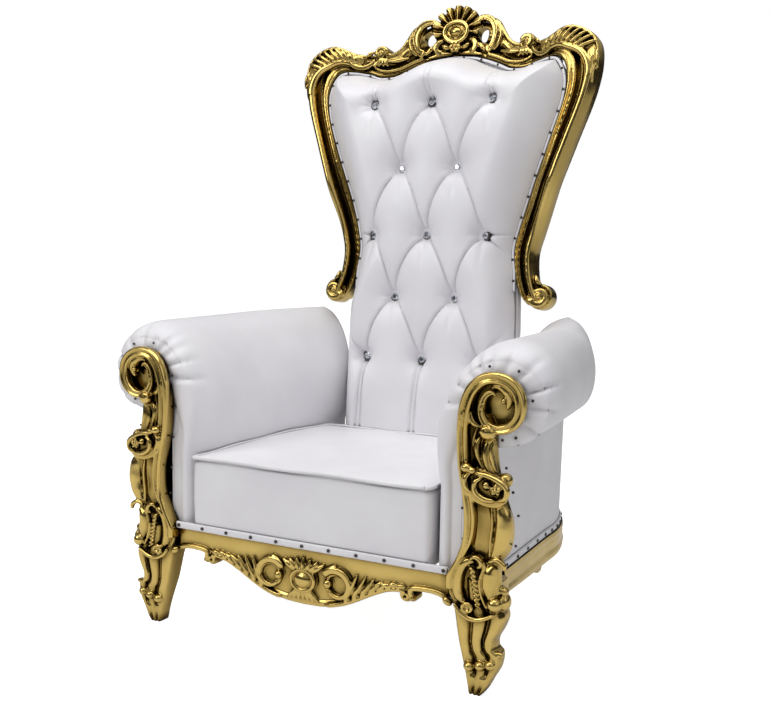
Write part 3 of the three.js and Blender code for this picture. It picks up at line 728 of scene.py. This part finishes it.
def carve_apron_side(clay):
    """A large C scroll, a row of leaves, the two lower rims and the scroll where they meet."""
    x, z = 94, MEDALLION_Z
    arc = []
    for k in range(11):
        angle = math.radians(150 - 30 * k)
        reach = 43 - 1.8 * k
        arc.append((x + math.cos(angle) * reach, z + math.sin(angle) * reach * 0.95))
    clay.rod(arc, lambda t: 10 - 5 * t, y=-7, groove=0.3, steps=50)
    clay.ring(x, z, 29, 27, 4.5, y=-4)
    clay.boss(70, 190, 12, 12, 13, y=-5)
    clay.lobe([(60, 214), (74, 226), (92, 238)], 8, y=-5)
    for k in range(6):
        low = (118 + 21 * k, 148 + 9.5 * k)
        middle = (134 + 22 * k, 188 + 6 * k)
        tip = (150 + 22.5 * k, 226 - 2.5 * k)
        clay.lobe([low, ((low[0] + middle[0]) / 2 - 3, (low[1] + middle[1]) / 2), middle, tip], 8.5 - 0.5 * k,
                  y=-5, flat=1.1)
    clay.lobe([(250, 205), (262, 216), (278, 216)], 6, y=-5)
    lower = [(x, z + 5) for x, z in APRON_LOW[1:7]] + [(272, 206)]
    clay.rod(lower, lambda t: 6, y=-5, steps=60)
    arch = [(292, 196)] + [(x, z + 5) for x, z in APRON_LOW[7:]]
    clay.rod(arch, lambda t: 6.5, y=-6, steps=50, groove=0.25)
    clay.disc(277, 196, 16, -2, 34, dish=2)
    clay.spiral(277, 196, 11.5, 3, math.pi / 2, 1.2, 1, 5, -6)
    clay.disc(293, 193, 10, -2, 34, dish=0)
    clay.boss(293, 193, 7, 7, 9, y=-3)


def carve_apron_centre(clay):
    """A medallion between two fans of leaves."""
    for k in range(-3, 4):
        clay.lobe([(k * 7, 206), (k * 14, 222), (k * 20, 246 - 4 * abs(k))], 7.5, y=-5, flat=1.2)
        clay.lobe([(k * 5, 168), (k * 10, 152), (k * 15, 134)], 6, y=-5)
    clay.ring(0, MEDALLION_Z, 32, 26, 5.5, y=-9)
    clay.boss(0, MEDALLION_Z, 26, 21, 15, y=-5)
    clay.disc(0, MEDALLION_Z, 36, -4, 30)


def build_apron():
    clay = Clay()
    top = [(x, RAIL_TOP - GAP) for x, _ in APRON_LOW]
    clay.band(APRON_LOW, top, APRON_SECTION, 120, back=APRON_DEPTH)
    carve_apron_side(clay)
    clay.mirror()
    carve_apron_centre(clay)
    mesh = clay.mesh("front_apron", lambda v: v + np.array([0, APRON_FRONT, 0]))
    piece = add_object("carved_apron", mesh, GOLD, ["front_apron"])
    melt(piece, 1.8, smooth=3, keep=0.5)


# Skins over grids of points
def skin(name, grid, wrap=False, caps=()):
    """A mesh in metres over a grid of points in millimetres. wrap joins the last column to the
    first, and caps lists rows that are closed with a single face."""
    rows, cols = grid.shape[:2]
    faces = faces_over(rows, cols, wrap).tolist()
    faces += [(np.arange(cols) + row % rows * cols).tolist() for row in caps]
    mesh = bpy.data.meshes.new(name)
    mesh.from_pydata(in_metres(grid.reshape(-1, 3)).tolist(), [], faces)
    face_outwards(mesh)
    return mesh


def face_outwards(mesh, close=False):
    """Turns the faces outwards, and first joins doubled points and closes holes if asked."""
    tool = bmesh.new()
    tool.from_mesh(mesh)
    if close:
        bmesh.ops.remove_doubles(tool, verts=tool.verts, dist=1e-6)
        bmesh.ops.holes_fill(tool, edges=[edge for edge in tool.edges if edge.is_boundary])
    bmesh.ops.recalc_face_normals(tool, faces=tool.faces)
    tool.to_mesh(mesh)
    tool.free()


def tube(name, path, radius):
    """A cord of round section along points in millimetres."""
    path = np.asarray(path, float)
    along = np.gradient(path, axis=0)
    along /= np.linalg.norm(along, axis=1)[:, None]
    side = np.cross(along, np.array([0.0, 0.0, 1.0]))
    side /= np.maximum(np.linalg.norm(side, axis=1), 1e-6)[:, None]
    up = np.cross(side, along)
    angle = full_turn(10)
    ring = side[:, None] * np.cos(angle)[:, None] + up[:, None] * np.sin(angle)[:, None]
    return skin(name, path[:, None] + ring * radius, wrap=True, caps=(0, -1))


# The buttoned pad
BUTTON_ROWS = [
    (1420, (-189, 0, 189)), (1229, (-89, 89)), (1034, (-180, 0, 180)), (850, (-97, 97)),
    (667, (-183, 0, 183)),
]
BUTTONS = [(x, z) for z, xs in BUTTON_ROWS for x in xs]
PAD_EDGE = [
    (258, 288), (264, 470), (268, 700), (264, 820), (259, 880), (258, 925), (250, 1000), (261, 1060),
    (293, 1167), (340, 1302), (378, 1432), (377, 1490), (348, 1540),
]
PAD_TOP = [(0, 1594), (70, 1585), (145, 1558), (190, 1537), (237, 1533), (278, 1544), (348, 1540)]
PAD_LOW, PAD_HIGH = PAD_EDGE[0][1], PAD_EDGE[-1][1]
PAD_CORNER = PAD_EDGE[-1][0]
PAD_REAR = 7
PIPING_FROM = 840               # height at which the frame takes over the pad's edge
CREASE_STAND = 14.0             # how far the tufts stand in front of the CAD pad's mean face
BUTTON_PULL = 44.0
FUNNEL_FROM, FUNNEL_WIDTH = 12, 24
GATHERS = 9                     # small folds round each button
NEIGHBOUR_REACH = 120.0
CREASE_DEPTH, CREASE_WIDTH = 10.0, 4.4
VALLEY_DEPTH, VALLEY_WIDTH = 5.0, 32    # the soft dip on both sides of a crease
PLEAT_DEPTH, PLEAT_WIDTH = 11.0, 4.2


def crease_curves():
    """Folds between neighbouring buttons: each leaves its upper button sideways and drops onto
    the lower one."""
    curves = []
    t = np.linspace(0, 1, 22)[:, None]
    for (high, uppers), (low, lowers) in zip(BUTTON_ROWS, BUTTON_ROWS[1:]):
        for x0 in uppers:
            for x1 in lowers:
                if abs(x1 - x0) > NEIGHBOUR_REACH:
                    continue
                start, end = np.array([x0, high]), np.array([x1, low])
                step = end - start
                out = np.sign(step[0]) * np.array([-step[1], step[0]]) / np.linalg.norm(step)
                curves.append(start + step * t + out * 15 * np.sin(np.pi * t ** 0.85))
    return curves


def pleat_curves():
    """Folds that run from the outer buttons to the edge of the pad."""
    curves = []
    t = np.linspace(0, 1, 14)
    for x in BUTTON_ROWS[0][1]:
        for side in (-1, 1):
            curves.append(np.stack([x + side * (6 + 3 * t) - 14 * np.sin(2.2 * t), 1426 + 150 * t], -1))
    for x in BUTTON_ROWS[-1][1]:
        for side in (-1, 1):
            curves.append(np.stack([x + side * (4 + 4 * t) - 5 * t, 662 - 230 * t], -1))
    for side in (-1, 1):
        curves.append(np.stack([side * (182 + 90 * t), 1036 + 6 * t], -1))
        curves.append(np.stack([side * (184 + 62 * t), 1028 - 44 * t - 6 * t ** 2], -1))
        curves.append(np.stack([side * (188 + 76 * t), 672 + 70 * t + 30 * t ** 2], -1))
    return curves


def distance_to(curve, x, z):
    """The distance from every point to a polyline, and how far along it the nearest point is."""
    best = np.full(x.shape, 1e9)
    place = np.zeros(x.shape)
    for i in range(len(curve) - 1):
        (ax, az), (bx, bz) = curve[i], curve[i + 1]
        dx, dz = bx - ax, bz - az
        share = np.clip(((x - ax) * dx + (z - az) * dz) / (dx * dx + dz * dz), 0, 1)
        gap = np.hypot(x - ax - share * dx, z - az - share * dz)
        near = gap < best
        best = np.where(near, gap, best)
        place = np.where(near, (i + share) / (len(curve) - 1), place)
    return best, place


def button_pull(x, z):
    """The funnels that the buttons pull into the pad, with small gathers round each."""
    pull = np.zeros(x.shape)
    for i, (bx, bz) in enumerate(BUTTONS):
        away = np.hypot(x - bx, z - bz)
        pull += BUTTON_PULL * np.exp(-np.maximum(away - FUNNEL_FROM, 0) / FUNNEL_WIDTH)
        angle = np.arctan2(x - bx, bz - z)
        around = np.exp(-((away - 24) / 14) ** 2)
        pull += 1.5 * (np.cos(GATHERS * angle + i) * around * (0.4 + 0.6 * (np.cos(angle) > 0)))
        below = np.clip((bz - z) / 110, 0, 1)
        pull += 3.0 * np.exp(-((x - bx) / 8) ** 2) * np.sin(np.pi * below) * (bz > z)
    return pull


def pad_crown(x, z, inside):
    """The pad's rise from its edge, and its depth where it has risen."""
    crown = np.sin(np.pi / 2 * np.clip(inside / (60 + 60 * share_between(z, 800, 1000)), 0, 1)) ** 0.8
    return crown, PAD_PUFF * (1 + 1.58 * (z - PAD_LOW) / (PAD_HIGH - PAD_LOW)) + bow(x, z)


def pad_depth(x, z, inside):
    crown, full = pad_crown(x, z, inside)
    folds = np.zeros(x.shape)
    for curve in crease_curves():
        gap = distance_to(curve, x, z)[0]
        crease = CREASE_DEPTH * np.exp(-(gap / CREASE_WIDTH) ** 1.3)
        folds = np.maximum(folds, crease + VALLEY_DEPTH * np.exp(-(gap / VALLEY_WIDTH) ** 2))
    pleats = np.zeros(x.shape)
    for curve in pleat_curves():
        gap, place = distance_to(curve, x, z)
        pleat = PLEAT_DEPTH * np.exp(-(gap / PLEAT_WIDTH) ** 1.5)
        pleats = np.maximum(pleats, pleat * (1 - 0.4 * place))
    wander = 2.0 * np.sin(x / 41 + 1.3) * np.sin(z / 57)
    pulled = np.minimum(button_pull(x, z) + folds, BUTTON_PULL)
    return 4 + (full + CREASE_STAND - pulled + wander) * crown - pleats * np.clip(inside / 25, 0, 1)


def pad_edge_grid(columns, rows):
    """(x, z, distance inside the edge) over the pad's outline."""
    across = np.linspace(-1, 1, columns)[None, :]
    across = np.sign(across) * (1 - (1 - np.abs(across)) ** 1.15)
    along = np.linspace(0, 1, rows)
    corner = spline(PAD_EDGE)(along)
    top = spline(PAD_TOP)
    rise = top(np.clip(np.abs(across) * corner[:, :1] / PAD_CORNER, 0, 1))[..., 1] - PAD_HIGH
    x = corner[:, :1] * across
    z = corner[:, 1:] + rise * along[:, None] ** 8
    inside = np.minimum((1 - np.abs(across)) * corner[:, :1], PAD_HIGH + rise - z)
    return x, z, np.maximum(inside, 0)


def build_back_pad():
    x, z, inside = pad_edge_grid(211, 401)
    front = points_at(x, -pad_depth(x, z, inside), z)
    rim = np.pad(front, ((1, 1), (1, 1), (0, 0)), mode="edge")
    rim[[0, -1], :, 1] = PAD_REAR
    rim[:, [0, -1], 1] = PAD_REAR
    mesh = skin("back_pad", lean_back(rim.reshape(-1, 3)).reshape(rim.shape))
    face_outwards(mesh, close=True)
    piece = add_object("tufted_back", mesh, LEATHERETTE, ["back_pad"])


def pad_outline(low):
    """The pad's outline above a height, from the lower right over the top to the lower left."""
    side = [point for point in PAD_EDGE if point[1] > low]
    right = np.vstack([np.array(side, float), np.array(PAD_TOP[::-1], float)[1:-1], [[0, PAD_TOP[0][1]]]])
    curve = spline(right)(np.linspace(0, 1, 160))
    return np.vstack([curve, curve[-2::-1] * np.array([-1, 1])])


def build_pad_edge():
    """A cord round the pad, and dark nails that hold it to the frame."""
    outline = pad_outline(PIPING_FROM)
    path = lean_back(points_at(outline[:, 0], -9.0, outline[:, 1]))
    add_object("pad_piping", tube("pad_piping", path, 5.0), LEATHERETTE)
    length = length_along(outline)
    even = np.arange(30.0, length[-1], 62.0)
    x, z = (np.interp(even, length, outline[:, k]) for k in (0, 1))
    places = lean_back(points_at(x, -13.5, z))
    nail_heads("nails_pad", places, PAD_NAIL)


STONE_CUT = ((2.0, -2), (12.4, 0), (10.8, 4.4), (6.0, 8.4))     # radius and rise of each girdle


def build_buttons():
    """Cut stones in dark silver rims, one for each node."""
    reach = spline(PAD_EDGE)(np.linspace(0, 1, 400))
    for number, (x, z) in enumerate(BUTTONS, 1):
        edge = np.interp(z, reach[:, 1], reach[:, 0])
        crown, full = pad_crown(np.float64(x), np.float64(z), edge - abs(x))
        y = 5 - (4 + (full - BUTTON_DIMPLE) * crown)
        stone = Clay()
        radius, rise = np.array(STONE_CUT).T[..., None]
        angle = 2 * np.pi * (np.arange(10) + 0.5 * (np.arange(len(STONE_CUT)) % 2)[:, None]) / 10
        stone.grid(points_at(x + radius * np.cos(angle), y - rise, z + radius * np.sin(angle)))
        node = "tuft_button_%02d" % number
        gem = add_object("stone_%02d" % number, stone.mesh(node, lean_back), CRYSTAL, [node])
        shade(gem.data, False)
        cup = Clay()
        cup.ring(x, z, 13.0, 13.0, 2.6, y=y - 1, steps=28, sides=10)
        cup.boss(x, z, 12, 12, 6, y=y + 5, sides=16)
        add_object("setting_%02d" % number, cup.mesh("setting_%02d" % number, lean_back), NAIL)


# Arms
ARM_INNER = [(340, -366), (340, -150), (338, 0), (324, 120), (302, 215), (283, 308)]
ARM_OUTER = [(478, -366), (478, -180), (478, 0), (478, 120), (456, 222), (402, 336)]
ARM_LEAN_FROM = 300.0
ROLL_FROM, ROLL_MIDDLE = 480, 118       # height at which the roll begins, and its middle across
ARM_CROWN = [
    (0, 462), (-7, 500), (-12, 560), (-10, 612), (2, 655), (22, 700), (54, 745), (96, 778), (146, 794),
    (196, 790), (240, 765), (266, 725), (275, 685), (270, 645), (252, 612), (222, 592), (186, 581),
    (152, 574), (138, 562),
]
FAN_TOP = 668                   # height at which the folds of the front meet
FRONT_BULGE = 7
DART_LENGTH, DARTS_FROM = 42, 560       # how far back they run, and the height they start at
DART_ANGLES = (-62, -34, -4, 21, 49, 76, 104, 122, 140, 161, 184)


def arm_outline():
    crown = spline(ARM_CROWN)(np.linspace(0, 1, 120))
    low = RAIL_TOP + 1
    rise = np.linspace(low, ARM_CROWN[0][1], 20)[:-1]
    fall = np.linspace(ARM_CROWN[-1][1], low, 30)[1:]
    return np.vstack([
        np.stack([np.zeros(len(rise)), rise], -1), crown,
        np.stack([np.full(len(fall), ARM_THICK), fall], -1),
    ])


def along_arm(across, height, along, side=1):
    """Points at a distance from the arm's inner face, a height, and a share of its length."""
    across, height, along = np.broadcast_arrays(across, height, along)
    inner, outer = spline(ARM_INNER)(along), spline(ARM_OUTER)(along)
    plan = inner + (outer - inner) * (across / ARM_THICK)[..., None]
    back = math.tan(LEAN) * np.maximum(0, height - ARM_LEAN_FROM) * share_between(along, 0.6, 1)
    return np.stack([side * plan[..., 0], plan[..., 1] + back, height], -1)


def arm_rings(outline, steps):
    """The outline carried round the arm's plan, tapering to the back and rounded at the front."""
    spacing = np.linspace(0, 1, steps)
    along = (spacing ** 1.5)[:, None]
    swell = 1 - 0.13 * (1 - np.minimum(1, spacing[:, None] * 4.5)) ** 2
    taper = 1 - 0.62 * ease(along)
    x, z = outline.T
    over = np.where(x > ARM_THICK, ARM_THICK + (x - ARM_THICK) * taper, x)
    across = ROLL_MIDDLE + (over - ROLL_MIDDLE) * swell
    raised = ROLL_FROM + (z - ROLL_FROM) * swell * (1 + 0.05 * along)
    height = np.where(z > ROLL_FROM, raised, z)
    return along_arm(across, height, along)


def arm_front(edge):
    """Rings that close the front towards the post, bulging a little in between."""
    mid_x = (SIDE_X + ARM_INNER_X) / 2 + 63 * share_between(edge[:, 2], 500, 620)
    height = np.where(edge[:, 0] > SIDE_X + 4, FAN_TOP, np.clip(edge[:, 2], 280, FAN_TOP))
    target = points_at(mid_x, edge[:, 1], height)
    rings = []
    for share in np.linspace(0, 1, 26)[1:]:
        ring = edge + (target - edge) * share * 0.96
        ring[:, 1] = ARM_FRONT - FRONT_BULGE * math.sin(math.pi * min(1, share * 1.9)) ** 0.8 * (share < 0.53)
        rings.append(ring)
    return np.array(rings[::-1])


def gather_darts(points):
    """Darts that radiate from the scroll over the front of the roll."""
    dx, dz = points[..., 0] - SCROLL_X, points[..., 2] - SCROLL_Z
    reach = np.hypot(dx, dz)
    angle = np.degrees(np.arctan2(dz, dx))
    behind = np.maximum(points[..., 1] - ARM_FRONT, 0)
    fade = np.exp(-(behind / DART_LENGTH) ** 1.6)
    fold = np.zeros(reach.shape)
    for i, place in enumerate(DART_ANGLES):
        turn = (angle - place + 180) % 360 - 180
        width = 4.5 + 2.0 * ((i * 7) % 3)
        depth = 7 + 2.2 * ((i * 5) % 4)
        fold = np.maximum(fold, depth * np.exp(-np.abs(np.radians(turn) * reach / width) ** 1.5))
    fold *= fade * (points[..., 2] > DARTS_FROM) * np.clip((reach - 55) / 30, 0, 1)
    facing = np.exp(-behind / 12)
    moved = points.copy()
    moved[..., 1] += fold * facing
    moved[..., 0] -= fold * (1 - facing) * dx / np.maximum(reach, 1)
    moved[..., 2] -= fold * (1 - facing) * dz / np.maximum(reach, 1)
    return moved


def build_arm(side, name):
    rings = arm_rings(arm_outline(), 120)
    rings = np.vstack([arm_front(rings[0]), rings])
    rings = gather_darts(rings)
    rings[..., 0] *= side
    mesh = skin("arm_" + name, rings, wrap=True, caps=(0, -1))
    piece = add_object("padded_arm_" + name, mesh, LEATHERETTE, ["arm_" + name])


# Seat cushion
SEAT_OUTLINE = [(336, -382), (336, -20), (322, 100), (299, 190), (289, 226)]
SEAT_CORNER, SEAT_CROWN = 14.0, 19


def seat_corners(count):
    """The cushion's plan, with rounded corners, evenly spaced."""
    right = np.array(SEAT_OUTLINE, float)
    plan = np.vstack([right, right[::-1] * np.array([-1, 1])])
    points = []
    for i, corner in enumerate(plan):
        before, after = plan[i - 1], plan[(i + 1) % len(plan)]
        steps = (before - corner, after - corner)
        a, b = (corner + step / np.linalg.norm(step) * SEAT_CORNER for step in steps)
        for t in np.linspace(0, 1, 9):
            points.append(a * (1 - t) ** 2 + corner * 2 * t * (1 - t) + b * t ** 2)
    points = np.array(points + points[:1])
    length = length_along(points)
    even = np.linspace(0, length[-1], count, endpoint=False)
    return np.stack([np.interp(even, length, points[:, k]) for k in (0, 1)], -1)


def build_seat_cushion():
    outline = seat_corners(360)
    centre = outline.mean(0)
    bottom, edge = RAIL_TOP + 1, SEAT_TOP - 8
    rows = [(share, bottom) for share in (0.3, 0.7, 0.985)]
    # The sides bulge a little and draw in under the piping
    for t in np.linspace(0, 1, 40):
        bulge = 0.006 * math.sin(math.pi * t) - 0.022 * math.exp(-((t - 0.965) / 0.03) ** 2)
        rows.append((0.992 + bulge, bottom + 3 + (edge - bottom - 3) * t))
    for t in np.linspace(0, 1, 60)[1:]:
        rows.append((1 - t * 0.995, edge + SEAT_CROWN * math.sin(math.pi / 2 * min(1, t * 1.25)) ** 0.75))
    share, z = np.array(rows).T[..., None]
    plan = centre + (outline - centre) * share[..., None]
    mesh = skin("seat_cushion", points_at(plan[..., 0], plan[..., 1], z), wrap=True, caps=(0, -1))
    piece = add_object("padded_seat", mesh, LEATHERETTE, ["seat_cushion"])
    line = np.vstack([outline, outline[:1]])
    path = points_at(line[:, 0], line[:, 1], edge + 1.5)
    path[:, 2] += 1.6 * np.sin(path[:, 0] / 47) + 1.2 * np.sin(path[:, 1] / 39)
    add_object("seat_piping", tube("seat_piping", path, 4.8), LEATHERETTE)


# Welts, nails, rails and the plain nodes
RAIL_NAIL, PAD_NAIL, POST_NAIL = 0.0046, 0.004, 0.0034      # radii in metres
POST_NAILS = [
    (466, 742), (533, 736), (566, 674), (530, 590), (500, 582), (511, 522), (528, 470), (542, 420),
    (538, 352), (414, 350), (398, 292), (410, 420), (404, 500), (398, 580), (406, 660),
]


def strip(name, path, out, replaced=()):
    """A flat folded strip, rounded at its upper and lower edges, along points in millimetres."""
    section = np.array([
        (-1.5, 0.5), (3.2, 0.2), (5.0, 2.4), (5.6, 5.0), (5.2, 9.0), (5.6, 13.0), (5.0, 15.6), (3.2, 17.6),
        (-1.5, 17.4),
    ])
    grid = path[:, None] + out[:, None] * section[:, :1] + np.array([0, 0, 1]) * section[:, 1:]
    mesh = skin(name, grid, wrap=True, caps=(0, -1))
    add_object(name, mesh, LEATHERETTE, replaced)


def build_welts():
    """White strips that cover the seams above the rails."""
    x = np.linspace(-383, 383, 90)
    path = points_at(x, SEAT_FRONT - GAP, RAIL_TOP)
    strip("welt_strip_front", path, np.tile([0.0, -1.0, 0.0], (90, 1)), ["front_welt"])
    along = np.linspace(0, 1, 120) ** 1.5
    for side, name in SIDES:
        path = along_arm(ARM_THICK + GAP, RAIL_TOP, along, side)
        step = np.gradient(path, axis=0)
        out = np.stack([step[:, 1], -step[:, 0], np.zeros(120)], -1) * side
        out /= np.linalg.norm(out, axis=1)[:, None]
        strip("welt_strip_" + name, path, out, ["side_welt_" + name])


def nail_heads(name, places, radius, facing=(0, -1, 0)):
    """Small domed heads at points in millimetres, facing one way."""
    turn = Vector((0, 0, 1)).rotation_difference(Vector(facing)).to_matrix().to_4x4()
    tool = bmesh.new()
    for point in places:
        centre = Vector(in_metres(point).tolist())
        made = bmesh.ops.create_uvsphere(tool, u_segments=12, v_segments=8, radius=radius)["verts"]
        bmesh.ops.scale(tool, vec=(1, 1, 0.7), verts=made)
        bmesh.ops.transform(tool, matrix=Matrix.Translation(centre) @ turn, verts=made)
    mesh = bpy.data.meshes.new(name)
    tool.to_mesh(mesh)
    tool.free()
    add_object(name, mesh, NAIL)


def build_nails():
    front = points_at(np.linspace(-374, 374, 11), SEAT_FRONT - 7.0, WELT_MIDDLE)
    nail_heads("nails_front", front, RAIL_NAIL)
    for side, name in SIDES:
        along = np.linspace(0.02, 0.98, 13)
        path = along_arm(ARM_THICK + 6.0, WELT_MIDDLE, along, side)
        nail_heads("nails_side_" + name, path, RAIL_NAIL, (side, 0, 0))
        post = np.array(POST_NAILS, float)
        points = points_at(side * post[:, 0], ARM_FRONT - 7.0, post[:, 1])
        nail_heads("nails_post_" + name, points, POST_NAIL)


DROP_OUTLINE = np.array([
    (-60, 210), (-34, 192), (-8, 176), (12, 169), (34, 170), (42, 186), (44, 211),
], float)
DROP_STEPS = ((443, 0.9), (446, 1.0), (462, 1.0), (468, 0.96), (471, 0.8))     # x, share of the outline


def build_rail_drop(side, name):
    """The small stub under a side rail, with its edges eased."""
    x, inset = np.array(DROP_STEPS).T[..., None]
    middle = DROP_OUTLINE.mean(0)
    y, z = (middle + (DROP_OUTLINE - middle) * inset[..., None]).transpose(2, 0, 1)
    mesh = skin(name, points_at(side * x, y, z), wrap=True, caps=(0, -1))
    add_object(name, mesh, GOLD)
    shade(mesh, False)


def build_rails():
    section = np.array([
        (98, 205), (98, 264.6), (147, 264.6), (149, 256), (147, 248), (148, 238), (147, 226), (150, 219),
        (149, 211), (143, 206), (136, 205),
    ], float)
    share = np.linspace(0, 1, 70)[:, None]
    along = 0.0745 + 0.9255 * share
    for side, name in SIDES:
        low = np.clip((232 - section[:, 1]) / 20, 0, 1)
        height = section[:, 1] - low * (14 * np.sin(np.pi * share) - 10 * ease(share))
        points = along_arm(section[:, 0], height, along, side)
        mesh = skin("side_rail_" + name, points, wrap=True, caps=(0, -1))
        add_object("rail_side_" + name, mesh, GOLD, ["side_rail_" + name])
        shade(mesh, False)
        build_rail_drop(side, "rail_drop_" + name)


def dress_plain_nodes():
    """The hidden pieces stay as the frame has them, with the same finishes."""
    finishes = {
        "back_rail": GOLD, "rear_leg_right": GOLD, "rear_leg_left": GOLD, "back_shell": LEATHERETTE,
    }
    for name, material in finishes.items():
        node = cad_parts[name]
        node.data.materials.clear()
        node.data.materials.append(material)
        bevel = node.modifiers.new("bevel", "BEVEL")
        bevel.width = 0.003
        bevel.segments = 2


# The studio, in metres and watts
FLOOR_SIZE = 30
FLOOR_GLOW = 0.85               # lifts the floor to white where the camera sees it
ROOM_LIGHT = 0.42
LIGHTS = (                      # name, place, target, size, power
    ("key", (-2.2, -3.2, 3.2), (0, 0, 0.8), (2.2, 2.2), 58),
    ("fill", (3.4, -1.4, 2.2), (0, 0, 0.8), (1.6, 2.6), 9),
    ("top", (0.3, -0.6, 4.2), (0, 0, 0.6), (3.0, 3.0), 72),
)


def build_studio():
    bpy.ops.mesh.primitive_plane_add(size=FLOOR_SIZE)
    floor = bpy.context.object
    floor.name = "floor"
    material, tree, shader = node_material("floor")
    set_inputs(shader, Base_Color=(0.93, 0.93, 0.93, 1), Roughness=0.9, Specular_IOR_Level=0.1)
    set_inputs(shader, Emission_Color=(1, 1, 1, 1))
    path = tree.nodes.new("ShaderNodeLightPath")
    lift = tree.nodes.new("ShaderNodeMath")
    lift.operation = "MULTIPLY"
    lift.inputs[1].default_value = FLOOR_GLOW
    tree.links.new(path.outputs["Is Camera Ray"], lift.inputs[0])
    tree.links.new(lift.outputs["Value"], shader.inputs["Emission Strength"])
    floor.data.materials.append(material)


def add_view():
    view = bpy.context.scene.view_settings
    view.view_transform = "Standard"
    view.look = "None"


def build_world():
    """White to the camera, and a dim studio with dark stretches to the reflections."""
    world = bpy.data.worlds.new("studio")
    bpy.context.scene.world = world
    world.use_nodes = True
    tree = world.node_tree
    shown = tree.nodes["Background"]
    set_inputs(shown, Color=(1, 1, 1, 1), Strength=1.0)
    room = tree.nodes.new("ShaderNodeBackground")
    set_inputs(room, Strength=ROOM_LIGHT)
    coords = tree.nodes.new("ShaderNodeTexCoord")
    split = tree.nodes.new("ShaderNodeSeparateXYZ")
    tree.links.new(coords.outputs["Generated"], split.inputs["Vector"])
    level = tree.nodes.new("ShaderNodeMapRange")
    set_inputs(level, From_Min=-1.0)
    tree.links.new(split.outputs["Z"], level.inputs["Value"])
    shades = add_ramp(tree, level.outputs["Result"], [
        (0.0, (0.4, 0.4, 0.4, 1)), (0.44, (0.05, 0.05, 0.06, 1)), (0.58, (0.05, 0.05, 0.06, 1)),
        (0.72, (0.8, 0.8, 0.82, 1)), (1.0, (1.2, 1.2, 1.2, 1)),
    ])
    tree.links.new(shades.outputs["Color"], room.inputs["Color"])
    path = tree.nodes.new("ShaderNodeLightPath")
    mix = tree.nodes.new("ShaderNodeMixShader")
    tree.links.new(path.outputs["Is Camera Ray"], mix.inputs["Fac"])
    tree.links.new(room.outputs["Background"], mix.inputs[1])
    tree.links.new(shown.outputs["Background"], mix.inputs[2])
    tree.links.new(mix.outputs["Shader"], tree.nodes["World Output"].inputs["Surface"])


def add_light(name, place, target, size, power):
    data = bpy.data.lights.new(name, "AREA")
    data.shape = "RECTANGLE"
    data.size, data.size_y = size
    data.energy = power
    lamp = new_object(name, data)
    lamp.location = place
    lamp.rotation_euler = (Vector(target) - Vector(place)).to_track_quat("-Z", "Y").to_euler()


build_back_frame()
build_back_pad()
build_pad_edge()
build_buttons()
for hand, title in SIDES:
    build_front_post(hand, title)
    build_arm(hand, title)
build_apron()
build_seat_cushion()
build_welts()
build_nails()
build_rails()
dress_plain_nodes()
build_studio()
build_world()
for light in LIGHTS:
    add_light(*light)
add_view()
add_camera()
